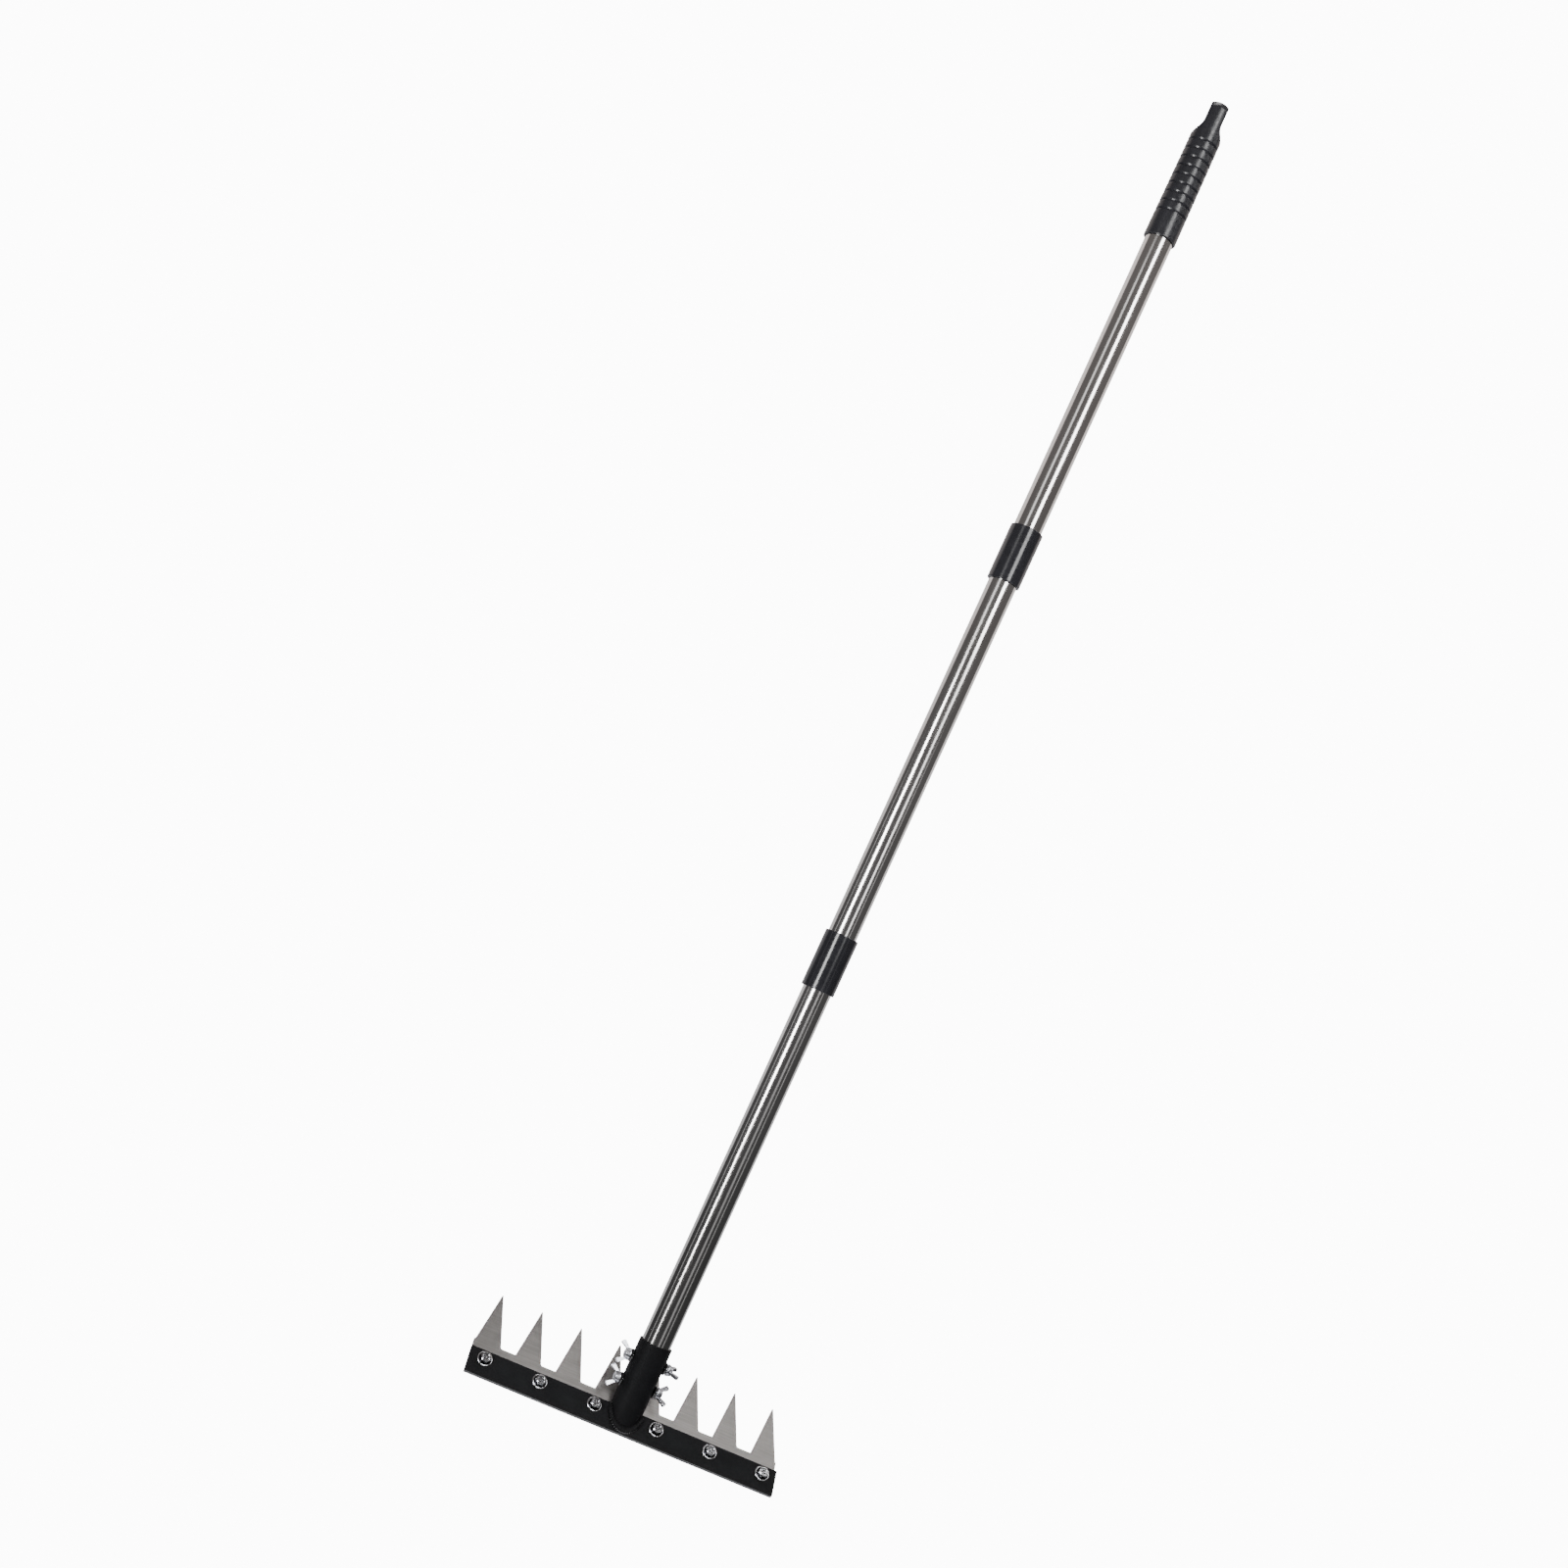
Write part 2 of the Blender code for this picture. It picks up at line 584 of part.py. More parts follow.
# Wing screws: a nut welded on the socket, a threaded stud in it and a cast wing on the stud
def socket_nut_mesh():
    """A thin hexagon nut standing on the socket's side."""
    body = hexagon("socket_nut", NUT_ACROSS_FLATS, 0.0, SOCKET_NUT_HEIGHT)
    thread = rod("socket_nut_thread", SCREW_HOLE_RADIUS, -MM, SOCKET_NUT_HEIGHT + MM, STEPS_SMALL)
    return combined(body, [thread], "DIFFERENCE")


def stud_mesh():
    """A stud from the wing's seat, at the origin, down to its tip and up inside the wing."""
    end = WING_SOCKET_DEPTH - GAP
    tip = end - STUD_LENGTH
    outline = [(0.0, tip), (SCREW_RADIUS - STUD_TIP_CHAMFER, tip), (SCREW_RADIUS, tip + STUD_TIP_CHAMFER)]
    outline += [(SCREW_RADIUS, end), (0.0, end)]
    return turned("wing_stud", outline, STEPS_SMALL)


def wing_outline():
    """One wing, across and up: from the hub's wall, round its square end and back to the hub."""
    along = (math.cos(WING_SLOPE), math.sin(WING_SLOPE))

    def beside_tip(back, aside):
        """A point a little back from the wing's tip and to one side of its middle line."""
        across = WING_TIP[0] - back * along[0] + aside * along[1]
        return across, WING_TIP[1] - back * along[1] - aside * along[0]

    soft_side = WING_HALF_WIDTH - WING_CORNER
    return [
        (WING_ROOT, WING_ROOT_LOW),
        beside_tip(WING_CORNER, WING_HALF_WIDTH),
        beside_tip(0.0, soft_side),
        beside_tip(0.0, -soft_side),
        beside_tip(WING_CORNER, -WING_HALF_WIDTH),
        WING_NECK,
        (WING_ROOT, WING_ROOT_HIGH),
    ]


def wing_mesh():
    """A hub with two wings. It stands on the origin, with the wings up and down Y."""
    hole_radius = SCREW_RADIUS + GAP
    hub = [
        (0.0, WING_SOCKET_DEPTH),
        (hole_radius, WING_SOCKET_DEPTH),
        (hole_radius, 0.0),
        (WING_HUB_RADIUS, 0.0),
        (WING_HUB_RADIUS, WING_HUB_FOOT),
        (WING_HUB_TOP_RADIUS, WING_HUB_SHOULDER),
        (WING_HUB_CAP_RADIUS, WING_HUB_HEIGHT),
        (0.0, WING_HUB_HEIGHT),
    ]
    body = turned("wing_hub", hub, STEPS_SMALL)
    flat = plate("wing", wing_outline(), -WING_HALF_THICKNESS, WING_HALF_THICKNESS, WING_SOFT_EDGE)
    # The plate's own XY becomes the plane through the screw's axis
    wing = moved(flat, Matrix.Rotation(math.pi / 2.0, 4, "Z") @ Matrix.Rotation(math.pi / 2.0, 4, "X"))
    other = moved(wing, Matrix.Rotation(math.pi, 4, "Z"))
    return combined(body, [wing, other], "UNION")


socket_nut = socket_nut_mesh()
stud = stud_mesh()
wing = wing_mesh()
for level, height in SCREW_HEIGHTS.items():
    for side, outward in SIDES.items():
        facing = (0.0, outward * math.pi / 2.0, 0.0)
        foot = (outward * (SOCKET_RADIUS + GAP), 0.0, height)
        place(f"socket_nut_{level}_{side}", socket_nut, COATED, foot, facing)
        seat = (outward * WING_SEATS[side], 0.0, height)
        place(f"wing_stud_{level}_{side}", stud, ZINC, seat, facing)
        screw = place(f"wing_head_{level}_{side}", wing, ZINC, seat)
        turn = math.radians(90.0 - WING_TURNS[level, side])
        out = Matrix.Rotation(outward * math.pi / 2.0, 4, "Y")
        screw.rotation_euler = (Matrix.Rotation(turn, 4, "X") @ out).to_euler()
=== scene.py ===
"""Dethatching rake: finishes, fine shapes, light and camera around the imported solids.

Z runs up the pole, the teeth point to +Y, and the origin is the hole that the rake hangs by.
"""

import math

import bmesh
import bpy
from mathutils import Matrix, Vector


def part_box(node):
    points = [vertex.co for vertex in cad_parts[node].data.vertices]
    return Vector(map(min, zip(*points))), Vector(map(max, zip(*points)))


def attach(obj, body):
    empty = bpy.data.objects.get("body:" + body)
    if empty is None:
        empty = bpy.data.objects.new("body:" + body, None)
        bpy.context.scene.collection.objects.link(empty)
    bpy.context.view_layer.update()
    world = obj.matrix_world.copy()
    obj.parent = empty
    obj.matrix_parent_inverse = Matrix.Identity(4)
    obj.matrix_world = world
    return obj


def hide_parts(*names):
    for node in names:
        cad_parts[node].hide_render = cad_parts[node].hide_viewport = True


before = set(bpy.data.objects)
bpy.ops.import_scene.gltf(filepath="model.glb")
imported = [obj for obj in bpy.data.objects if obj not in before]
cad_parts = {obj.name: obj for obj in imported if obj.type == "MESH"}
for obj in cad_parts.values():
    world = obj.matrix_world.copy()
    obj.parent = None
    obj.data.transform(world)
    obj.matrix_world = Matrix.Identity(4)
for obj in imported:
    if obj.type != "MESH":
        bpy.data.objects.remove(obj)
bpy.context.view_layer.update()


# Hanging grip: one hollow polypropylene moulding, pushed over the top of the pole.
# Nine ring grooves keep it from slipping, and its flattened end is drilled to hang by.
MM = 0.001
GRIP_STEPS = 96
GRIP_TOP = 8.0 * MM
GRIP_END = -128.5 * MM
GRIP_SHOULDER = -27.2 * MM
GRIP_RADIUS_HIGH = 13.9 * MM
GRIP_RADIUS_LOW = 14.8 * MM
GRIP_BORE = 13.0 * MM
GRIP_BORE_TOP = -37.7 * MM
GRIP_END_EDGE = 0.9 * MM
GRIP_END_ROUND = 0.25 * MM
DOME_RADIUS = 15.2 * MM
DOME_STEPS = 16
GROOVES = 9
GROOVE_PITCH = 8.75 * MM
GROOVE_FIRST = -34.0 * MM
GROOVE_HALF_WIDTH = 1.45 * MM
GROOVE_DEPTH = 0.95 * MM
GROOVE_SMOOTH_DEPTH = GROOVE_DEPTH / 1.5
# A groove's section from its top edge, in millimetres down and deep. Its long slope faces down,
# which catches the low light, and its short one faces up.
GROOVE_SECTION = (
    (0.0, 0.0), (0.12, 0.04), (1.25, 0.6), (1.35, 0.72),
    (1.6, 0.95), (2.2, 0.95), (2.7, 0.3325), (2.9, 0.0),
)
TAB_TURN = math.radians(-14.5)
TAB_HALF_THICKNESS = 8.0 * MM
TAB_FLARE_TOP = -15.0 * MM
TAB_FLARE_RADIUS = 12.0 * MM
TAB_FLARE_SLOPE = math.radians(35.0)
TAB_FLARE_STEPS = 16
TAB_EDGE = 0.45 * MM
TAB_EDGE_ANGLE = math.radians(24.0)
HANG_HOLE_RADIUS = 3.6 * MM
HANG_HOLE_STEPS = 48
CLEAR = 30.0 * MM
MERGE = 0.001 * MM
CUT_MERGE = 0.005 * MM


def linear(code):
    """A screen colour such as #202020 as the linear colour that a shader takes."""
    levels = [int(code[index:index + 2], 16) / 255.0 for index in (1, 3, 5)]
    toned = [v / 12.92 if v <= 0.04045 else ((v + 0.055) / 1.055) ** 2.4 for v in levels]
    return (*toned, 1.0)


def add_node(tree, kind, settings=None, links=None):
    """One node, with its settings by name and what feeds its sockets."""
    made = tree.nodes.new(kind)
    for name, value in (settings or {}).items():
        if isinstance(name, str) and hasattr(made, name):
            setattr(made, name, value)
        else:
            made.inputs[name].default_value = value
    for name, source in (links or {}).items():
        tree.links.new(source, made.inputs[name])
    return made


def between(first, second):
    """Settings of a mix from one screen colour to another."""
    return {"data_type": "RGBA", 6: linear(first), 7: linear(second)}


def from_noise(low, high):
    """Settings that stretch the usual span of a noise, 0.3 to 0.7, to two values."""
    return {"From Min": 0.3, "From Max": 0.7, "To Min": low, "To Max": high}


def finish_named(name):
    """A new material, its nodes, its shader's sockets and the object coordinates that its patterns read."""
    made = bpy.data.materials.new(name)
    made.use_nodes = True
    tree = made.node_tree
    place = add_node(tree, "ShaderNodeTexCoord").outputs["Object"]
    return made, tree, tree.nodes["Principled BSDF"].inputs, place


# Polypropylene, moulded in a spark-eroded tool: satin black with a fine even grain on its
# lands, while the grooves stay as smooth as the turned rings of the tool and catch small glints.
polypropylene, tree, surface, place = finish_named("moulded_polypropylene")
cloud = add_node(tree, "ShaderNodeTexNoise", {"Scale": 1.0 / (14.0 * MM)}, {"Vector": place})
tone = add_node(tree, "ShaderNodeMix", between("#1b1b1e", "#29292e"), {0: cloud.outputs["Fac"]})
tree.links.new(tone.outputs[2], surface["Base Color"])
patch = add_node(tree, "ShaderNodeTexNoise", {"Scale": 1.0 / (3.0 * MM)}, {"Vector": place})
land = add_node(tree, "ShaderNodeMapRange", from_noise(0.24, 0.36), {"Value": patch.outputs["Fac"]})
hollow = add_node(tree, "ShaderNodeAttribute", {"attribute_name": "groove"})
gloss = add_node(
    tree,
    "ShaderNodeMapRange",
    {"To Max": 0.2},
    {"Value": hollow.outputs["Fac"], "To Min": land.outputs["Result"]},
)
tree.links.new(gloss.outputs["Result"], surface["Roughness"])
# The grain is about 0.1 mm on the real one and is drawn at 0.6 mm, so that it shows
skin = add_node(tree, "ShaderNodeTexNoise", {"Scale": 1.0 / (0.6 * MM)}, {"Vector": place})
relief = add_node(tree, "ShaderNodeBump", {"Distance": 0.003 * MM}, {"Height": skin.outputs["Fac"]})
tree.links.new(relief.outputs["Normal"], surface["Normal"])
surface["IOR"].default_value = 1.49


def spun(outline, steps, ring=False):
    """A bmesh turned round Z from corners of radius and height. A ring's outline is closed."""
    bm = bmesh.new()
    corners = [bm.verts.new((radius, 0.0, height)) for radius, height in outline]
    edges = [bm.edges.new(pair) for pair in zip(corners, corners[1:])]
    if ring:
        edges.append(bm.edges.new((corners[-1], corners[0])))
    bmesh.ops.spin(
        bm,
        geom=corners + edges,
        cent=(0.0, 0.0, 0.0),
        axis=(0.0, 0.0, 1.0),
        angle=math.tau,
        steps=steps,
        use_merge=True,
    )
    bmesh.ops.remove_doubles(bm, verts=bm.verts, dist=MERGE)
    bmesh.ops.recalc_face_normals(bm, faces=bm.faces)
    return bm


def drawn_up(outline, low, high):
    """A bmesh of a flat outline in XY, raised from one height to another."""
    bm = bmesh.new()
    sheet = bm.faces.new([bm.verts.new((across, along, low)) for across, along in outline])
    walls = bmesh.ops.extrude_face_region(bm, geom=[sheet])
    lifted = [item for item in walls["geom"] if isinstance(item, bmesh.types.BMVert)]
    bmesh.ops.translate(bm, verts=lifted, vec=(0.0, 0.0, high - low))
    bmesh.ops.recalc_face_normals(bm, faces=bm.faces)
    return bm


def softened(bm, edges, width, segments=3):
    """Rounds the given edges."""
    bmesh.ops.bevel(
        bm,
        geom=edges,
        offset=width,
        segments=segments,
        profile=0.5,
        affect="EDGES",
        material=-1,
        clamp_overlap=True,
    )
    return bm


def as_mesh(bm, name):
    """The bmesh as mesh data."""
    mesh = bpy.data.meshes.new(name)
    bm.to_mesh(mesh)
    bm.free()
    return mesh


def rod_mesh(radius, low, high, steps=32):
    """A plain rod along Z, for drilling."""
    return as_mesh(spun([(0.0, low), (radius, low), (radius, high), (0.0, high)], steps), "rod")


def in_scene(name, data):
    """A new object of a mesh, a light or a camera."""
    made = bpy.data.objects.new(name, data)
    bpy.context.scene.collection.objects.link(made)
    return made


def settled(made, helpers=()):
    """The mesh of an object after its modifiers, which takes it and its helpers out again."""
    graph = bpy.context.evaluated_depsgraph_get()
    mesh = bpy.data.meshes.new_from_object(made.evaluated_get(graph))
    for spare in (*helpers, made):
        bpy.data.objects.remove(spare, do_unlink=True)
    return mesh


def joined(mesh, tools, operation):
    """The mesh after other meshes are cut from it, joined to it or crossed with it."""
    target = in_scene("work", mesh)
    helpers = [in_scene("tool", tool) for tool in tools]
    for helper in helpers:
        step = target.modifiers.new("step", "BOOLEAN")
        step.operation = operation
        step.solver = "EXACT"
        step.object = helper
    return settled(target, helpers)


def turned_copy(mesh, matrix):
    """A copy of the mesh, moved or turned."""
    copy = mesh.copy()
    copy.transform(matrix)
    return copy


def fit(mesh, name, finish, body, node, sharp=30.0):
    """The mesh as a finished piece that stands for a CAD node."""
    mesh.name = name
    mesh.materials.clear()
    mesh.materials.append(finish)
    mesh.shade_smooth()
    mesh.set_sharp_from_angle(angle=math.radians(sharp))
    made = in_scene(name, mesh)
    # Wide faces stay flat and the rounded edges beside them take the whole turn
    flatten = made.modifiers.new("flat_faces", "WEIGHTED_NORMAL")
    flatten.keep_sharp = True
    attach(made, body)
    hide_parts(node)
    return made


def grip_radius(height):
    """The grip swells slightly from its shoulder to its lower end."""
    share = (GRIP_SHOULDER - height) / (GRIP_SHOULDER - GRIP_END)
    return GRIP_RADIUS_HIGH + share * (GRIP_RADIUS_LOW - GRIP_RADIUS_HIGH)


def grip_blank():
    """The moulding before its tab is cut: dome, grooved side, rounded end and bore."""
    dome_middle = GRIP_TOP - DOME_RADIUS
    dome_end = math.asin(GRIP_RADIUS_HIGH / DOME_RADIUS)
    corners = []
    for step in range(DOME_STEPS + 1):
        angle = dome_end * step / DOME_STEPS
        corners.append((DOME_RADIUS * math.sin(angle), dome_middle + DOME_RADIUS * math.cos(angle)))
    for groove in range(GROOVES):
        top = GROOVE_FIRST - groove * GROOVE_PITCH + GROOVE_HALF_WIDTH
        for down, deep in GROOVE_SECTION:
            height = top - down * MM
            corners.append((grip_radius(height) - deep * MM, height))
    corners += [
        (GRIP_RADIUS_LOW, GRIP_END + GRIP_END_EDGE),
        (GRIP_RADIUS_LOW - GRIP_END_ROUND, GRIP_END + GRIP_END_ROUND),
        (GRIP_RADIUS_LOW - GRIP_END_EDGE, GRIP_END),
        (GRIP_BORE, GRIP_END),
        (GRIP_BORE, GRIP_BORE_TOP),
        (0.0, GRIP_BORE_TOP),
    ]
    return as_mesh(spun(corners, GRIP_STEPS), "grip_blank")


def beside_tab():
    """The block cut away beside the tab: a flat side, a hollow curve and a straight slope."""
    outline = [(TAB_HALF_THICKNESS, CLEAR)]
    for step in range(TAB_FLARE_STEPS + 1):
        angle = TAB_FLARE_SLOPE * step / TAB_FLARE_STEPS
        out = TAB_HALF_THICKNESS + TAB_FLARE_RADIUS * (1.0 - math.cos(angle))
        height = TAB_FLARE_TOP - TAB_FLARE_RADIUS * math.sin(angle)
        outline.append((out, height))
    outline.append((CLEAR, height - (CLEAR - out) / math.tan(TAB_FLARE_SLOPE)))
    outline.append((CLEAR, CLEAR))
    mesh = as_mesh(drawn_up(outline, -CLEAR, CLEAR), "beside_tab")
    mesh.transform(Matrix.Rotation(math.pi / 2.0, 4, "X"))
    return mesh


def grip_mesh():
    """The whole grip, turned so that its tab stands as it does on the screwed pole."""
    block = beside_tab()
    other = turned_copy(block, Matrix.Rotation(math.pi, 4, "Z"))
    drill = rod_mesh(HANG_HOLE_RADIUS, -CLEAR, CLEAR, HANG_HOLE_STEPS)
    drill.transform(Matrix.Rotation(math.pi / 2.0, 4, "Y"))
    mesh = joined(grip_blank(), [block, other, drill], "DIFFERENCE")
    bm = bmesh.new()
    bm.from_mesh(mesh)
    bmesh.ops.remove_doubles(bm, verts=bm.verts, dist=CUT_MERGE)
    hard = [
        edge
        for edge in bm.edges
        if len(edge.link_faces) == 2
        and edge.calc_face_angle() > TAB_EDGE_ANGLE
        and min(end.co.z for end in edge.verts) > GROOVE_FIRST + GROOVE_HALF_WIDTH
        and max(abs(end.co.x) for end in edge.verts) > 0.5 * TAB_HALF_THICKNESS
    ]
    softened(bm, hard, TAB_EDGE)
    bmesh.ops.recalc_face_normals(bm, faces=bm.faces)
    mesh = as_mesh(bm, "grip")
    # How deep each point lies in a groove, for the finish to read: 1 from two thirds of the depth
    hollows = mesh.attributes.new("groove", "FLOAT", "POINT")
    for vertex, hollow_here in zip(mesh.vertices, hollows.data):
        if GRIP_END + MM < vertex.co.z < GROOVE_FIRST + GROOVE_PITCH / 2.0:
            depth = grip_radius(vertex.co.z) - vertex.co.xy.length
            hollow_here.value = min(1.0, max(0.0, depth / GROOVE_SMOOTH_DEPTH))
    mesh.transform(Matrix.Rotation(TAB_TURN, 4, "Z"))
    return mesh


fit(grip_mesh(), "grip", polypropylene, "upper_section", "hanging_grip", 40.0)


# Pole tubes: three lengths of 25.4 mm stainless tube, drawn thin and belt polished.
# Each tube's height comes from the solid that it stands for.
TUBE_RADIUS = 12.7 * MM
TUBE_BORE = 11.9 * MM
TUBE_STEPS = 128
TUBE_EDGE = 0.15 * MM
TUBE_BODIES = {"upper_tube": "upper_section", "middle_tube": "middle_travel", "lower_tube": "lower_travel"}

# Stainless steel, drawn and belt polished round the tube: close to a mirror across the pole,
# with marks round it finer than a hair that draw each reflection out along its length.
polished, tree, surface, place = finish_named("polished_stainless")
surface["Metallic"].default_value = 1.0
along = add_node(tree, "ShaderNodeMapping", {"Scale": (1.0, 1.0, 0.2)}, {"Vector": place})
cloud = add_node(
    tree, "ShaderNodeTexNoise", {"Scale": 1.0 / (22.0 * MM)}, {"Vector": along.outputs["Vector"]}
)
tone = add_node(tree, "ShaderNodeMix", between("#c4c2c0", "#dcdad9"), {0: cloud.outputs["Fac"]})
tree.links.new(tone.outputs[2], surface["Base Color"])
smear = add_node(
    tree,
    "ShaderNodeTexNoise",
    {"Scale": 1.0 / (6.0 * MM), "Detail": 3.0},
    {"Vector": along.outputs["Vector"]},
)
gloss = add_node(tree, "ShaderNodeMapRange", from_noise(0.12, 0.17), {"Value": smear.outputs["Fac"]})
tree.links.new(gloss.outputs["Result"], surface["Roughness"])
# The tube's own waver, a few hundredths of a millimetre, bends the long reflections
waver = add_node(
    tree,
    "ShaderNodeTexNoise",
    {"Scale": 1.0 / (26.0 * MM), "Detail": 1.0},
    {"Vector": along.outputs["Vector"]},
)
sway = add_node(tree, "ShaderNodeBump", {"Distance": 0.012 * MM}, {"Height": waver.outputs["Fac"]})
# The belt marks are drawn 0.5 mm apart, several times their real spacing, so that they show
around = add_node(tree, "ShaderNodeMapping", {"Scale": (0.025, 0.025, 1.0)}, {"Vector": place})
belt = add_node(
    tree, "ShaderNodeTexNoise", {"Scale": 1.0 / (0.5 * MM)}, {"Vector": around.outputs["Vector"]}
)
marks = add_node(
    tree,
    "ShaderNodeBump",
    {"Distance": 0.0012 * MM},
    {"Height": belt.outputs["Fac"], "Normal": sway.outputs["Normal"]},
)
tree.links.new(marks.outputs["Normal"], surface["Normal"])


def tube_mesh(node):
    """A tube as long as its solid, its outer ends just broken."""
    low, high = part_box(node)
    outline = [
        (TUBE_BORE, high.z),
        (TUBE_RADIUS - TUBE_EDGE, high.z),
        (TUBE_RADIUS, high.z - TUBE_EDGE),
        (TUBE_RADIUS, low.z + TUBE_EDGE),
        (TUBE_RADIUS - TUBE_EDGE, low.z),
        (TUBE_BORE, low.z),
    ]
    return as_mesh(spun(outline, TUBE_STEPS, ring=True), node)


for node, body in TUBE_BODIES.items():
    fit(tube_mesh(node), f"{node}_polished", polished, body, node)


# Collars: black ABS sleeves pressed on the tube above, threaded inside for the plug below.
# They cover each screwed joint and are as long as two tube widths.
COLLAR_RADIUS = 14.8 * MM
COLLAR_SLIP = 13.0 * MM
COLLAR_THREAD = 11.4 * MM
COLLAR_SEAT = 20.3 * MM
COLLAR_STEP = 39.8 * MM
COLLAR_LENGTH = 50.8 * MM
COLLAR_EDGE = 0.7 * MM
NEAR = 0.01 * MM

# ABS, moulded in a polished tool: semi-gloss black, which shows the lights as clear lines.
# Handling leaves faint dull patches and marks round it.
abs_plastic, tree, surface, place = finish_named("moulded_abs")
haze = add_node(tree, "ShaderNodeTexNoise", {"Scale": 1.0 / (8.0 * MM), "Detail": 3.0}, {"Vector": place})
tone = add_node(tree, "ShaderNodeMix", between("#17171a", "#2a2a2f"), {0: haze.outputs["Fac"]})
tree.links.new(tone.outputs[2], surface["Base Color"])
around = add_node(tree, "ShaderNodeMapping", {"Scale": (0.2, 0.2, 1.0)}, {"Vector": place})
rub_marks_and_painted_highlight = add_node(
    tree,
    "ShaderNodeTexNoise",
    {"Scale": 1.0 / (2.2 * MM), "Detail": 3.0},
    {"Vector": around.outputs["Vector"]},
)
gloss = add_node(tree, "ShaderNodeMapRange", from_noise(0.12, 0.22), {"Value": rub_marks_and_painted_highlight.outputs["Fac"]})
tree.links.new(gloss.outputs["Result"], surface["Roughness"])
# Where the wall is thick the plastic sinks by a few hundredths of a millimetre
sink = add_node(tree, "ShaderNodeTexNoise", {"Scale": 1.0 / (11.0 * MM)}, {"Vector": place})
dip = add_node(tree, "ShaderNodeBump", {"Distance": 0.025 * MM}, {"Height": sink.outputs["Fac"]})
tree.links.new(dip.outputs["Normal"], surface["Normal"])
surface["IOR"].default_value = 1.53


def is_level(edge):
    """Whether both ends of an edge are at one height."""
    return abs(edge.verts[0].co.z - edge.verts[1].co.z) < NEAR


def collar_mesh(node):
    """A collar between the heights of its solid."""
    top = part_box(node)[1].z
    outline = [
        (COLLAR_SLIP, top),
        (COLLAR_RADIUS, top),
        (COLLAR_RADIUS, top - COLLAR_LENGTH),
        (COLLAR_SLIP, top - COLLAR_LENGTH),
        (COLLAR_SLIP, top - COLLAR_STEP),
        (COLLAR_THREAD, top - COLLAR_STEP),
        (COLLAR_THREAD, top - COLLAR_SEAT),
        (COLLAR_SLIP, top - COLLAR_SEAT),
    ]
    bm = spun(outline, GRIP_STEPS, ring=True)
    rims = [
        edge
        for edge in bm.edges
        if is_level(edge) and all(abs(end.co.xy.length - COLLAR_RADIUS) < NEAR for end in edge.verts)
    ]
    return as_mesh(softened(bm, rims, COLLAR_EDGE, segments=4), node)


for node, body in (("upper_collar", "upper_section"), ("lower_collar", "middle_section")):
    fit(collar_mesh(node), f"{node}_moulding", abs_plastic, body, node)


# Thread plugs: nylon mouldings pressed into the tubes, whose threads stay inside the collars.
# The solids' own shape stays, and only takes the finish of moulded nylon.
nylon, tree, surface, place = finish_named("moulded_nylon")
milky = add_node(tree, "ShaderNodeTexNoise", {"Scale": 1.0 / (5.0 * MM)}, {"Vector": place})
tone = add_node(tree, "ShaderNodeMix", between("#161618", "#242427"), {0: milky.outputs["Fac"]})
tree.links.new(tone.outputs[2], surface["Base Color"])
fine = add_node(tree, "ShaderNodeTexNoise", {"Scale": 1.0 / (0.8 * MM)}, {"Vector": place})
gloss = add_node(tree, "ShaderNodeMapRange", from_noise(0.38, 0.55), {"Value": fine.outputs["Fac"]})
tree.links.new(gloss.outputs["Result"], surface["Roughness"])
skin = add_node(tree, "ShaderNodeBump", {"Distance": 0.01 * MM}, {"Height": fine.outputs["Fac"]})
tree.links.new(skin.outputs["Normal"], surface["Normal"])
surface["IOR"].default_value = 1.53
for node in ("upper_thread_plug", "lower_thread_plug"):
    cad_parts[node].data.materials.clear()
    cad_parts[node].data.materials.append(nylon)


# Socket: a short steel tube cut on the slant and welded to the bar, which holds the pole.
# The whole head is powder coated black after welding.
BLADE_LEAN = math.radians(40.0)
AXIS_ON_BAR = -1220.4 * MM
AXIS_ABOVE_BAR_EDGE = 26.5 * MM
SOCKET_RADIUS = 14.4 * MM
SOCKET_BORE = 13.0 * MM
SOCKET_TOP = -1165.5 * MM
SCREW_HEIGHTS = {"upper": -1182.0 * MM, "lower": -1202.5 * MM}
SCREW_HOLE_RADIUS = 3.3 * MM
SOCKET_EDGE = 0.35 * MM
GAP = 0.3 * MM

# Powder coat, baked on steel: satin black with the fine orange-peel swell of melted powder,
# rubbed a little smoother in patches.
coat, tree, surface, place = finish_named("powder_coat")
mottle = add_node(
    tree, "ShaderNodeTexNoise", {"Scale": 1.0 / (14.0 * MM), "Detail": 3.0}, {"Vector": place}
)
tone = add_node(tree, "ShaderNodeMix", between("#0e0e0f", "#1d1d1f"), {0: mottle.outputs["Fac"]})
# Faces that point down, such as the bar's lower edge and the foot of the weld, are painted light grey: a
# painted highlight of the floor's light from below
facing = add_node(
    tree,
    "ShaderNodeVectorMath",
    {"operation": "DOT_PRODUCT", 1: (0.0, -math.sin(BLADE_LEAN), -math.cos(BLADE_LEAN))},
    {0: add_node(tree, "ShaderNodeTexCoord").outputs["Normal"]},
)
painted_highlight_below = add_node(
    tree, "ShaderNodeMapRange", {"From Min": 0.7, "From Max": 0.9}, {"Value": facing.outputs["Value"]}
)
# The mix paints the down-facing faces light grey, a painted highlight
rub_marks_and_painted_highlight = add_node(
    tree,
    "ShaderNodeMix",
    {"data_type": "RGBA", 7: linear("#68686a")},
    {0: painted_highlight_below.outputs["Result"], 6: tone.outputs[2]},
)
tree.links.new(rub_marks_and_painted_highlight.outputs[2], surface["Base Color"])
worn = add_node(tree, "ShaderNodeTexNoise", {"Scale": 1.0 / (5.0 * MM), "Detail": 3.0}, {"Vector": place})
gloss = add_node(tree, "ShaderNodeMapRange", from_noise(0.44, 0.60), {"Value": worn.outputs["Fac"]})
tree.links.new(gloss.outputs["Result"], surface["Roughness"])
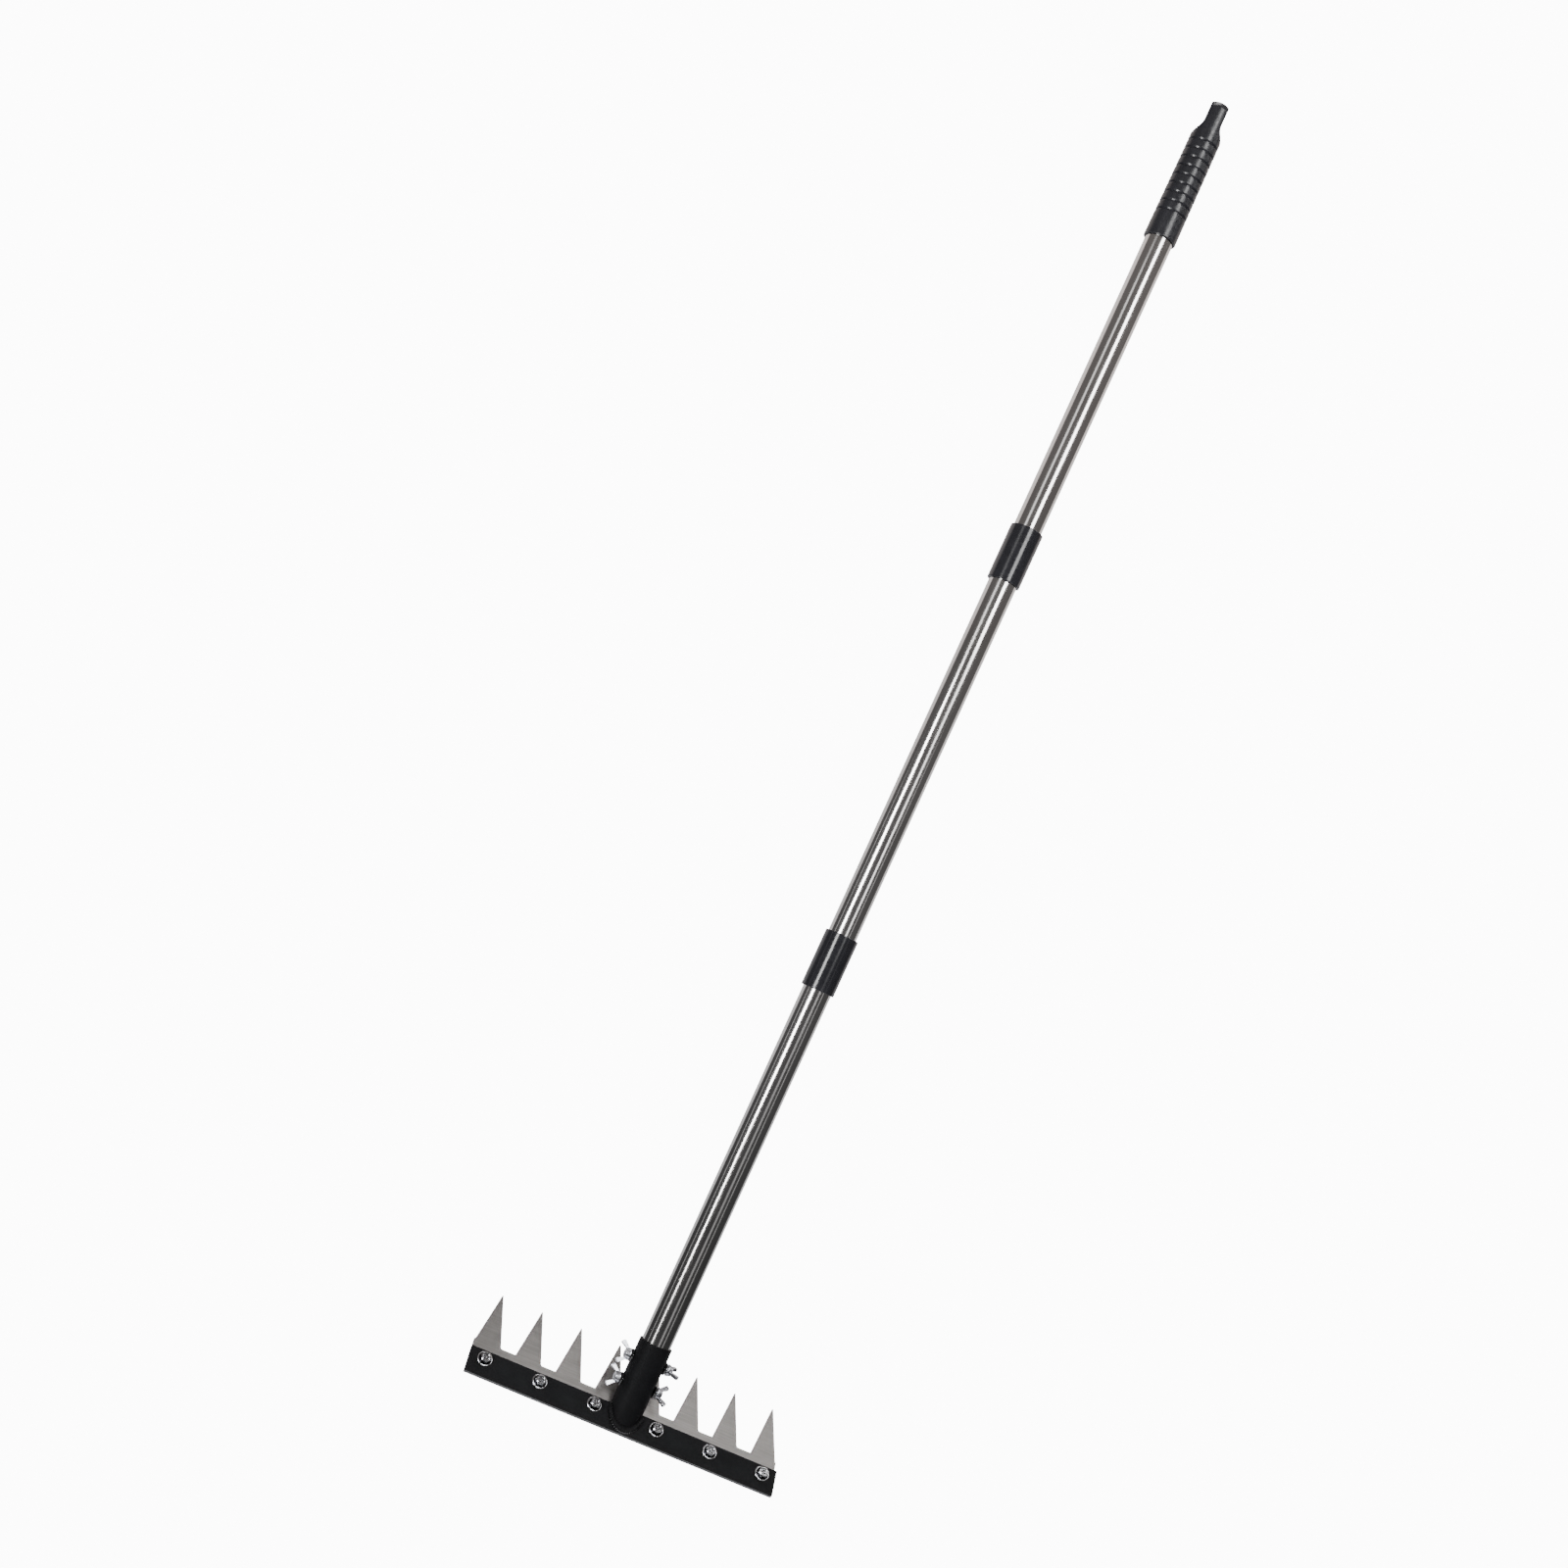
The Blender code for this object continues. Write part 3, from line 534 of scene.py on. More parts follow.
swell = add_node(tree, "ShaderNodeTexNoise", {"Scale": 1.0 / (1.6 * MM)}, {"Vector": place})
peel = add_node(tree, "ShaderNodeBump", {"Distance": 0.03 * MM}, {"Height": swell.outputs["Fac"]})
# The powder's own grain is finer than a hair and is drawn at 0.45 mm, so that it shows
dust = add_node(tree, "ShaderNodeTexNoise", {"Scale": 1.0 / (0.45 * MM)}, {"Vector": place})
grit = add_node(
    tree,
    "ShaderNodeBump",
    {"Distance": 0.008 * MM},
    {"Height": dust.outputs["Fac"], "Normal": peel.outputs["Normal"]},
)
tree.links.new(grit.outputs["Normal"], surface["Normal"])
surface["IOR"].default_value = 1.5
surface["Specular IOR Level"].default_value = 0.08


def socket_mesh():
    """The socket, cut on the bar's plane and drilled across for the four screws."""
    outline = [
        (SOCKET_BORE, AXIS_ON_BAR - CLEAR),
        (SOCKET_RADIUS, AXIS_ON_BAR - CLEAR),
        (SOCKET_RADIUS, SOCKET_TOP),
        (SOCKET_BORE, SOCKET_TOP),
    ]
    bm = spun(outline, GRIP_STEPS, ring=True)
    lift = GAP / math.sin(BLADE_LEAN)
    cut = bmesh.ops.bisect_plane(
        bm,
        geom=bm.verts[:] + bm.edges[:] + bm.faces[:],
        plane_co=(0.0, 0.0, AXIS_ON_BAR + lift),
        plane_no=(0.0, math.cos(BLADE_LEAN), -math.sin(BLADE_LEAN)),
        clear_outer=True,
    )
    rims = [item for item in cut["geom_cut"] if isinstance(item, bmesh.types.BMEdge)]
    bmesh.ops.bridge_loops(bm, edges=rims)
    bmesh.ops.recalc_face_normals(bm, faces=bm.faces)
    top = [
        edge
        for edge in bm.edges
        if all(abs(end.co.z - SOCKET_TOP) < NEAR for end in edge.verts)
        and abs(edge.verts[0].co.xy.length - edge.verts[1].co.xy.length) < NEAR
    ]
    softened(bm, top, SOCKET_EDGE)
    drill = rod_mesh(SCREW_HOLE_RADIUS, -CLEAR, CLEAR)
    across = Matrix.Rotation(math.pi / 2.0, 4, "Y")
    drills = [
        turned_copy(drill, Matrix.Translation((0.0, 0.0, height)) @ across)
        for height in SCREW_HEIGHTS.values()
    ]
    return joined(as_mesh(bm, "socket"), drills, "DIFFERENCE")


fit(socket_mesh(), "socket_coated", coat, "head", "socket")


# Weld: one bead run round the socket's foot, with the ripples of each small pool.
# It stops short where the bar ends above it, and the coat covers it like the rest.
WELD_RADIUS = 2.3 * MM
WELD_RISE = 1.0 * MM
WELD_REACH = SOCKET_RADIUS + WELD_RISE
WELD_STEPS = 220
WELD_SIDES = 14
# How far past the bead's end, in radians, a point may seem to lie by rounding
PAST_END = 0.01
# Shares of the bead's radius: its thinnest, how much a ripple adds, and how thin an end starts
WELD_THINNEST = 0.79
RIPPLE_SHARE = 0.14
WELD_END_SHARE = 0.45
WELD_END_GROWTH = 5.0
# The bead's uneven fullness, as waves of a height, a number round the pole and a phase
WELD_WANDER = ((0.03, 9.0, 0.0), (0.02, 23.0, 1.0))
RIPPLE_LENGTH = 1.7 * MM
BAR_HEIGHT = 23.2 * MM

# The head's own frame: X along the bar, Y up its front face from the lower edge, Z out of it
head_frame = Matrix.Translation((
    0.0,
    -AXIS_ABOVE_BAR_EDGE * math.sin(BLADE_LEAN),
    AXIS_ON_BAR - AXIS_ABOVE_BAR_EDGE * math.cos(BLADE_LEAN),
)) @ Matrix.Rotation(math.pi / 2.0 - BLADE_LEAN, 4, "X")


def weld_mesh():
    """A round bead swept round the pole's axis, then slanted on to the bar's face."""
    middle = AXIS_ABOVE_BAR_EDGE + WELD_RISE / math.tan(BLADE_LEAN)
    end = math.asin((BAR_HEIGHT - WELD_RADIUS - middle) * math.sin(BLADE_LEAN) / WELD_REACH)
    start = -math.pi - end
    bm = bmesh.new()
    ring = bmesh.ops.create_circle(bm, cap_ends=True, radius=WELD_RADIUS, segments=WELD_SIDES)
    stand = Matrix.Translation((WELD_REACH, 0.0, 0.0)) @ Matrix.Rotation(math.pi / 2.0, 4, "X")
    bmesh.ops.transform(bm, matrix=Matrix.Rotation(start, 4, "Z") @ stand, verts=ring["verts"])
    bmesh.ops.spin(
        bm,
        geom=bm.verts[:] + bm.edges[:] + bm.faces[:],
        cent=(0.0, 0.0, 0.0),
        axis=(0.0, 0.0, 1.0),
        angle=end - start,
        steps=WELD_STEPS,
    )
    bmesh.ops.remove_doubles(bm, verts=bm.verts, dist=MERGE)
    for vertex in bm.verts:
        angle = math.atan2(vertex.co.y, vertex.co.x)
        if angle > end + PAST_END:
            angle -= math.tau
        centre = Vector((WELD_REACH * math.cos(angle), WELD_REACH * math.sin(angle), 0.0))
        pool = abs(math.sin(math.pi * (angle - start) * WELD_REACH / RIPPLE_LENGTH))
        taper = min(1.0, WELD_END_SHARE + WELD_END_GROWTH * min(angle - start, end - angle))
        wander = sum(height * math.sin(waves * angle + phase) for height, waves, phase in WELD_WANDER)
        fullness = WELD_THINNEST + RIPPLE_SHARE * pool + wander
        vertex.co = centre + (vertex.co - centre) * taper * fullness
    bmesh.ops.recalc_face_normals(bm, faces=bm.faces)
    stretch = Matrix.Scale(1.0 / math.sin(BLADE_LEAN), 4, (0.0, 1.0, 0.0))
    onto_face = head_frame @ Matrix.Translation((0.0, middle, WELD_RISE)) @ stretch
    bmesh.ops.transform(bm, matrix=onto_face, verts=bm.verts)
    return as_mesh(bm, "weld")


fit(weld_mesh(), "socket_weld_bead", coat, "head", "socket_weld", 60.0)


# Bar: flat steel 4 mm thick, drilled for six bolts, which carries the blade.
# It is coated like the socket, and its lower edge is painted light grey as a painted highlight.
BAR_LENGTH = 280.0 * MM
BAR_THICKNESS = 4.0 * MM
BAR_EDGE = 0.5 * MM
BOLT_OFFSETS = (-126.8 * MM, -77.7 * MM, -28.3 * MM, 28.3 * MM, 77.7 * MM, 126.8 * MM)
BOLT_HEIGHT = 15.3 * MM
BOLT_HOLE_RADIUS = 3.3 * MM
DRILL_FOOT = -20.0 * MM
DRILL_TOP = 10.0 * MM


def bolt_drills():
    """Rods for the six bolt holes."""
    drill = rod_mesh(BOLT_HOLE_RADIUS, DRILL_FOOT, DRILL_TOP)
    return [turned_copy(drill, Matrix.Translation((offset, BOLT_HEIGHT, 0.0))) for offset in BOLT_OFFSETS]


def bar_mesh():
    """The bar with all its edges rounded, drilled and laid in its place."""
    bm = bmesh.new()
    size = Matrix.Diagonal((BAR_LENGTH, BAR_HEIGHT, BAR_THICKNESS, 1.0))
    middle = Matrix.Translation((0.0, BAR_HEIGHT / 2.0, -BAR_THICKNESS / 2.0))
    bmesh.ops.create_cube(bm, size=1.0, matrix=middle @ size)
    softened(bm, bm.edges[:], BAR_EDGE)
    mesh = joined(as_mesh(bm, "bar"), bolt_drills(), "DIFFERENCE")
    mesh.transform(head_frame)
    return mesh


fit(bar_mesh(), "bar_coated", coat, "head", "head_bar")


# Blade: one stainless sheet 2 mm thick with eight long teeth punched along its upper edge.
# It lies behind the bar, and its brushed face shows above it.
BLADE_LENGTH = 278.4 * MM
BLADE_THICKNESS = 2.0 * MM
BLADE_FOOT = 1.5 * MM
VALLEY_HEIGHT = 31.8 * MM
TOOTH_LENGTH = 45.8 * MM
TOOTH_BASE = 23.0 * MM
TOOTH_PITCH = 36.25 * MM
TEETH = 8
TIP_HALF_WIDTH = 0.35 * MM
VALLEY_FILLET = 1.2 * MM
FILLET_ACROSS = 0.25 * VALLEY_FILLET
FILLET_UP = 0.2 * VALLEY_FILLET
BLADE_EDGE = 0.12 * MM

# Stainless sheet with a brushed mill finish: warm grey, with straight fine lines along the
# blade, and slow clouds where the brushing and the rolling vary.
brushed, tree, surface, place = finish_named("brushed_stainless")
surface["Metallic"].default_value = 1.0
# Real brush lines are 0.1 mm wide. They are drawn near 0.7 mm, so that they show
drawn_out = add_node(tree, "ShaderNodeMapping", {"Scale": (0.011, 1.0, 1.0)}, {"Vector": place})
lines = add_node(
    tree,
    "ShaderNodeTexNoise",
    {"Scale": 1.0 / (0.7 * MM), "Detail": 3.0},
    {"Vector": drawn_out.outputs["Vector"]},
)
streak = add_node(tree, "ShaderNodeMix", between("#7e7b79", "#aba8a6"), {0: lines.outputs["Fac"]})
# The rolling leaves slow clouds, which come through the brushing a little darker
cloud = add_node(tree, "ShaderNodeTexNoise", {"Scale": 1.0 / (18.0 * MM), "Detail": 3.0}, {"Vector": place})
tone = add_node(
    tree, "ShaderNodeMix", {"data_type": "RGBA", "blend_type": "MULTIPLY", 0: 1.0}, {6: streak.outputs[2]}
)
dark = add_node(tree, "ShaderNodeMapRange", from_noise(0.84, 1.0), {"Value": cloud.outputs["Fac"]})
# The face is painted a shade darker towards the left end of the strip: a painted reflection of the darker
# side of the room
across = add_node(tree, "ShaderNodeSeparateXYZ", None, {0: place}).outputs["X"]
painted_shade_to_left = add_node(
    tree,
    "ShaderNodeMapRange",
    {"From Min": -135.0 * MM, "From Max": -55.0 * MM, "To Min": 0.68, "To Max": 1.0},
    {"Value": across},
)
depth = add_node(
    tree,
    "ShaderNodeMath",
    {"operation": "MULTIPLY"},
    {0: dark.outputs["Result"], 1: painted_shade_to_left.outputs["Result"]},
)
tree.links.new(depth.outputs["Value"], tone.inputs[7])
tree.links.new(tone.outputs[2], surface["Base Color"])
gloss = add_node(tree, "ShaderNodeMapRange", from_noise(0.44, 0.54), {"Value": cloud.outputs["Fac"]})
tree.links.new(gloss.outputs["Result"], surface["Roughness"])
scored = add_node(tree, "ShaderNodeBump", {"Distance": 0.012 * MM}, {"Height": lines.outputs["Fac"]})
tree.links.new(scored.outputs["Normal"], surface["Normal"])


def blade_outline():
    """Round the sheet: along its foot, up the right end, and back over the teeth."""
    half = BLADE_LENGTH / 2.0
    corners = [(-half, BLADE_FOOT), (half, BLADE_FOOT), (half, VALLEY_HEIGHT)]
    slope = math.atan2(TOOTH_LENGTH, TOOTH_BASE / 2.0 - TIP_HALF_WIDTH)
    rise = VALLEY_FILLET * math.sin(slope)
    run = VALLEY_FILLET * math.cos(slope)
    for tooth in reversed(range(TEETH)):
        middle = (tooth - (TEETH - 1) / 2.0) * TOOTH_PITCH
        right = middle + TOOTH_BASE / 2.0
        left = middle - TOOTH_BASE / 2.0
        if tooth < TEETH - 1:
            corners.append((right + VALLEY_FILLET, VALLEY_HEIGHT))
            corners.append((right + FILLET_ACROSS, VALLEY_HEIGHT + FILLET_UP))
        corners.append((right - run, VALLEY_HEIGHT + rise))
        corners.append((middle + TIP_HALF_WIDTH, VALLEY_HEIGHT + TOOTH_LENGTH))
        corners.append((middle - TIP_HALF_WIDTH, VALLEY_HEIGHT + TOOTH_LENGTH))
        corners.append((left + run, VALLEY_HEIGHT + rise))
        if tooth > 0:
            corners.append((left - FILLET_ACROSS, VALLEY_HEIGHT + FILLET_UP))
            corners.append((left - VALLEY_FILLET, VALLEY_HEIGHT))
    corners.append((-half, VALLEY_HEIGHT))
    return corners


def blade_mesh():
    """The sheet with its edges broken, drilled and laid in its place."""
    face = -BAR_THICKNESS - GAP
    bm = drawn_up(blade_outline(), face - BLADE_THICKNESS, face)
    rims = [edge for edge in bm.edges if is_level(edge)]
    softened(bm, rims, BLADE_EDGE, segments=2)
    mesh = joined(as_mesh(bm, "blade"), bolt_drills(), "DIFFERENCE")
    mesh.transform(head_frame)
    return mesh


fit(blade_mesh(), "blade_brushed", brushed, "head", "blade")


# Blade bolts and nuts: M6 flange bolts with a shallow dished head, and flange nuts behind.
# They are pressed from steel, with a hexagon that is small for the flange, and plated.
FLANGE_RADIUS = 6.6 * MM
FLANGE_RIM = 1.2 * MM
FLANGE_EDGE = 0.2 * MM
FLANGE_TOP = 1.5 * FLANGE_RIM
NUT_RIM = 0.5 * MM
BOLT_ACROSS_FLATS = 8.0 * MM
BOLT_CONE_RADIUS = 0.58 * BOLT_ACROSS_FLATS
NUT_ACROSS_FLATS = 10.0 * MM
NUT_CONE_RADIUS = 0.56 * NUT_ACROSS_FLATS
CORNER_DROP = 0.9 * MM
CORNER_TOP_SHARE = 0.47
BOLT_HEAD_HEIGHT = 5.0 * MM
BOLT_LENGTH = 16.0 * MM
BOLT_RADIUS = 3.0 * MM
POINT_INSET = 0.8 * MM
POINT_HEIGHT = 0.6 * MM
PLAIN_SHANK = 6.5 * MM
SHANK_TOP = 6.4 * MM
THREAD_PITCH = 1.0 * MM
THREAD_DEPTH = 0.35 * MM
THREAD_END = 0.1 * MM
# One turn of thread, as shares of its pitch and of its depth
THREAD_FORM = ((0.15, 1.0), (0.45, 0.0), (0.65, 0.0), (0.95, 1.0))
NUT_HEIGHT = 6.0 * MM
DISH_RADIUS = 3.0 * MM
DISH_DEPTH = 0.6 * MM
ROLL_RADIUS = 0.9 * MM
ROLL_FOOT = 0.3 * MM
ROLL_STEPS = 8
HOLLOW_RADIUS = 5.3 * MM
HOLLOW_HEIGHT = 0.95 * FLANGE_RIM
MARKS = 5
MARK_RING = 1.5 * MM
MARK_RADIUS = 0.75 * MM
MARK_LIFT = 0.4 * MARK_RADIUS
MARK_RIM = 0.1 * MM
BOLT_TURN = 17.0
FASTENER_STEPS = 48

# Steel, pressed cold and plated with bright zinc: a cool silver, cloudy in patches, over the
# dents and flow marks of the press, which break each reflection into bright and dark spots.
zinc, tree, surface, place = finish_named("pressed_zinc_plate")
surface["Metallic"].default_value = 1.0
bloom = add_node(tree, "ShaderNodeTexNoise", {"Scale": 1.0 / (2.4 * MM), "Detail": 3.0}, {"Vector": place})
tone = add_node(tree, "ShaderNodeMix", between("#b4b7be", "#f0f1f2"), {0: bloom.outputs["Fac"]})
# The hollow round the hexagon and the marks on it are painted dark grey: painted shade in the recesses
hollow = add_node(tree, "ShaderNodeAttribute", {"attribute_name": "painted_shade_recess"})
painted_recess_shade = add_node(
    tree,
    "ShaderNodeMix",
    {"data_type": "RGBA", 7: linear("#2c2c30")},
    {0: hollow.outputs["Fac"], 6: tone.outputs[2]},
)
tree.links.new(painted_recess_shade.outputs[2], surface["Base Color"])
gloss = add_node(tree, "ShaderNodeMapRange", from_noise(0.10, 0.20), {"Value": bloom.outputs["Fac"]})
tree.links.new(gloss.outputs["Result"], surface["Roughness"])
pits = add_node(tree, "ShaderNodeTexNoise", {"Scale": 1.0 / (1.2 * MM)}, {"Vector": place})
dents = add_node(tree, "ShaderNodeBump", {"Distance": 0.10 * MM}, {"Height": pits.outputs["Fac"]})
tree.links.new(dents.outputs["Normal"], surface["Normal"])


def hexagon_mesh(across, low, high):
    """A hexagon of a width across its flats, whose upper corners are turned off."""
    corner = across / math.sqrt(3.0)
    bm = bmesh.new()
    plan = bmesh.ops.create_circle(bm, cap_ends=True, radius=corner, segments=6)
    bmesh.ops.translate(bm, verts=plan["verts"], vec=(0.0, 0.0, low))
    walls = bmesh.ops.extrude_face_region(bm, geom=bm.faces[:])
    lifted = [item for item in walls["geom"] if isinstance(item, bmesh.types.BMVert)]
    bmesh.ops.translate(bm, verts=lifted, vec=(0.0, 0.0, high - low))
    bmesh.ops.recalc_face_normals(bm, faces=bm.faces)
    wide = corner + GAP
    form = [(0.0, low - MM), (wide, low - MM), (wide, high - CORNER_DROP)]
    form += [(CORNER_TOP_SHARE * across, high), (0.0, high)]
    turned_form = as_mesh(spun(form, FASTENER_STEPS), "hexagon_form")
    turned_form.transform(Matrix.Rotation(math.pi / FASTENER_STEPS, 4, "Z"))
    return joined(as_mesh(bm, "hexagon"), [turned_form], "INTERSECT")


def threaded(low, high, radius):
    """Corners up a thread drawn as rings, one for each turn."""
    corners = []
    height = low
    while height + THREAD_PITCH < high:
        corners += [(radius - deep * THREAD_DEPTH, height + up * THREAD_PITCH) for up, deep in THREAD_FORM]
        height += THREAD_PITCH
    return corners


def bolt_mesh():
    """A bolt whose flange rests at the origin, its shank down, its head dished and dented."""
    outline = [(0.0, -BOLT_LENGTH), (BOLT_RADIUS - POINT_INSET, -BOLT_LENGTH)]
    outline += threaded(POINT_HEIGHT - BOLT_LENGTH, -PLAIN_SHANK, BOLT_RADIUS)
    outline += [
        (BOLT_RADIUS, -SHANK_TOP),
        (BOLT_RADIUS, 0.0),
        (FLANGE_RADIUS - FLANGE_EDGE, 0.0),
        (FLANGE_RADIUS, FLANGE_EDGE),
    ]
    # The rim is rolled over in a round, then the flange rises in a hollow cone to the hexagon
    for step in range(ROLL_STEPS + 1):
        angle = math.radians(90.0) * step / ROLL_STEPS
        inward = ROLL_RADIUS * (1.0 - math.cos(angle))
        outline.append((FLANGE_RADIUS - inward, ROLL_FOOT + ROLL_RADIUS * math.sin(angle)))
    outline += [(HOLLOW_RADIUS, HOLLOW_HEIGHT), (BOLT_CONE_RADIUS, FLANGE_TOP), (0.0, FLANGE_TOP)]
    body = as_mesh(spun(outline, FASTENER_STEPS), "bolt_body")
    body = joined(body, [hexagon_mesh(BOLT_ACROSS_FLATS, FLANGE_RIM, BOLT_HEAD_HEIGHT)], "UNION")
    dish_floor = BOLT_HEAD_HEIGHT - DISH_DEPTH
    dish = [
        (0.0, dish_floor),
        (DISH_RADIUS - DISH_DEPTH, dish_floor),
        (DISH_RADIUS, BOLT_HEAD_HEIGHT),
        (DISH_RADIUS, BOLT_HEAD_HEIGHT + MM),
        (0.0, BOLT_HEAD_HEIGHT + MM),
    ]
    tools = [as_mesh(spun(dish, FASTENER_STEPS), "dish")]
    for mark in range(MARKS):
        turn = Matrix.Rotation(math.tau * mark / MARKS, 4, "Z")
        spot = Matrix.Translation((MARK_RING, 0.0, dish_floor + MARK_LIFT))
        bm = bmesh.new()
        bmesh.ops.create_icosphere(bm, subdivisions=3, radius=MARK_RADIUS, matrix=turn @ spot)
        tools.append(as_mesh(bm, "mark"))
    mesh = joined(body, tools, "DIFFERENCE")
    # Which points lie in a hollow, where the finish paints shade
    painted_shade_recess = mesh.attributes.new("painted_shade_recess", "FLOAT", "POINT")
    for vertex, deep in zip(mesh.vertices, painted_shade_recess.data):
        out = vertex.co.xy.length
        height = vertex.co.z
        in_hollow = out < HOLLOW_RADIUS + FLANGE_EDGE and HOLLOW_HEIGHT - NEAR < height < FLANGE_TOP + NEAR
        in_mark = out < DISH_RADIUS and FLANGE_TOP + NEAR < height < dish_floor - MARK_RIM
        deep.value = 1.0 if in_hollow or in_mark else 0.0
    return mesh


def nut_mesh():
    """A flange nut whose flange rests at the origin."""
    outline = [
        (0.0, 0.0),
        (FLANGE_RADIUS - FLANGE_EDGE, 0.0),
        (FLANGE_RADIUS, FLANGE_EDGE),
        (FLANGE_RADIUS, NUT_RIM),
        (NUT_CONE_RADIUS, FLANGE_TOP),
        (0.0, FLANGE_TOP),
    ]
    body = as_mesh(spun(outline, FASTENER_STEPS), "nut_body")
    body = joined(body, [hexagon_mesh(NUT_ACROSS_FLATS, FLANGE_RIM, NUT_HEIGHT)], "UNION")
    return joined(body, [rod_mesh(BOLT_HOLE_RADIUS, -MM, NUT_HEIGHT + MM)], "DIFFERENCE")


bolt = bolt_mesh()
nut = nut_mesh()
turned_back = Matrix.Rotation(math.pi, 4, "X")
for number, offset in enumerate(BOLT_OFFSETS, start=1):
    # Each was tightened to its own angle
    own_turn = Matrix.Rotation(math.radians(BOLT_TURN * number), 4, "Z")
    front = head_frame @ Matrix.Translation((offset, BOLT_HEIGHT, GAP)) @ own_turn
    fit(turned_copy(bolt, front), f"bolt_{number}", zinc, "head", f"blade_bolt_{number}")
    behind = Matrix.Translation((offset, BOLT_HEIGHT, -BAR_THICKNESS - BLADE_THICKNESS - 2.0 * GAP))
    back = head_frame @ behind @ turned_back @ own_turn
    fit(turned_copy(nut, back), f"nut_{number}", zinc, "head", f"blade_nut_{number}")


# Socket nuts: thin hexagon nuts welded on the socket's sides, coated with the head.
# A wing screw runs through each and clamps the pole.
SOCKET_NUT_HEIGHT = 1.6 * MM
SIDES = {"left": -1.0, "right": 1.0}


def socket_nut_mesh():
    """A thin nut standing on the origin."""
    bore = rod_mesh(SCREW_HOLE_RADIUS, -MM, SOCKET_NUT_HEIGHT + MM)
    return joined(hexagon_mesh(NUT_ACROSS_FLATS, 0.0, SOCKET_NUT_HEIGHT), [bore], "DIFFERENCE")


socket_nut = socket_nut_mesh()
for level, height in SCREW_HEIGHTS.items():
    for side, outward in SIDES.items():
        stand = Matrix.Translation((outward * (SOCKET_RADIUS + GAP), 0.0, height))
        stand = stand @ Matrix.Rotation(outward * math.pi / 2.0, 4, "Y")
        node = f"socket_nut_{level}_{side}"
        fit(turned_copy(socket_nut, stand), f"{node}_coated", coat, "head", node)


# Wing screws: a threaded stud with a wing cast on its end, to tighten without a tool.
# The castings are tumbled smooth and plated with zinc, duller than on the pressed bolts.
WING_SEATS = {"left": 16.6 * MM, "right": 17.4 * MM}
STUD_LENGTH = 6.4 * MM
STUD_INSIDE = 2.9 * MM
STUD_POINT_HEIGHT = 0.4 * MM
WING_HUB_RADIUS = 5.0 * MM
WING_HUB_TOP_RADIUS = 4.0 * MM
WING_HUB_HEIGHT = 5.0 * MM
# The hub's straight foot and its shoulder, as shares of its height, and its flat crown
HUB_FOOT = 0.2
HUB_SHOULDER = 0.85
HUB_CROWN = 0.7
WING_SOCKET_DEPTH = 3.2 * MM
WING_HALF_THICKNESS = 1.35 * MM
# Points of a wing, outward from the screw's axis and up from its seat
WING_FOOT = Vector((3.7 * MM, 0.8 * MM))
WING_ROOT = Vector((3.7 * MM, 4.6 * MM))
WING_BEND = Vector((4.4 * MM, 6.0 * MM))
WING_TIP = Vector((8.7 * MM, 9.3 * MM))
WING_SLOPE = math.radians(50.0)
WING_HALF_WIDTH = 2.0 * MM
WING_CORNER = 0.7 * MM
CAST_VOXEL = 0.22 * MM
CAST_ANGLE = 50.0
WING_TURNS = {
    ("upper", "left"): 20.0,
    ("lower", "left"): 24.0,
    ("upper", "right"): 78.0,
    ("lower", "right"): 46.0,
}

# Zinc alloy, cast in a die, tumbled and plated: a pale silver, duller than the bolts, with
# the faint ripple that the melt leaves, so that its flat sides light up evenly.
cast_zinc, tree, surface, place = finish_named("cast_zinc_plate")
surface["Metallic"].default_value = 1.0
flow = add_node(tree, "ShaderNodeTexNoise", {"Scale": 1.0 / (3.0 * MM), "Detail": 3.0}, {"Vector": place})
tone = add_node(tree, "ShaderNodeMix", between("#c3c6cf", "#eef0f4"), {0: flow.outputs["Fac"]})
tree.links.new(tone.outputs[2], surface["Base Color"])
gloss = add_node(tree, "ShaderNodeMapRange", from_noise(0.22, 0.34), {"Value": flow.outputs["Fac"]})
tree.links.new(gloss.outputs["Result"], surface["Roughness"])
ripple = add_node(tree, "ShaderNodeTexNoise", {"Scale": 1.0 / (1.2 * MM)}, {"Vector": place})
melt = add_node(tree, "ShaderNodeBump", {"Distance": 0.03 * MM}, {"Height": ripple.outputs["Fac"]})
tree.links.new(melt.outputs["Normal"], surface["Normal"])


def stud_mesh():
    """A stud from the wing's seat, at the origin, down to its tip and up inside the wing."""
    tip = STUD_INSIDE - STUD_LENGTH
    outline = [(0.0, tip), (BOLT_RADIUS - POINT_INSET, tip)]
    outline += threaded(tip + STUD_POINT_HEIGHT, STUD_INSIDE - THREAD_END, BOLT_RADIUS)
    outline += [(BOLT_RADIUS - THREAD_DEPTH, STUD_INSIDE), (0.0, STUD_INSIDE)]
    return as_mesh(spun(outline, FASTENER_STEPS), "stud")


def wing_outline():
    """One wing, across and up: a straight finger with a square end, leaning out from the hub."""
    out = Vector((math.cos(WING_SLOPE), math.sin(WING_SLOPE)))
    aside = Vector((out.y, -out.x))
    soft_side = WING_HALF_WIDTH - WING_CORNER
    corners = [
        WING_FOOT,
        WING_TIP - WING_CORNER * out + WING_HALF_WIDTH * aside,
        WING_TIP + soft_side * aside,
        WING_TIP - soft_side * aside,
        WING_TIP - WING_CORNER * out - WING_HALF_WIDTH * aside,
        WING_BEND,
        WING_ROOT,
    ]
    return [tuple(corner) for corner in corners]


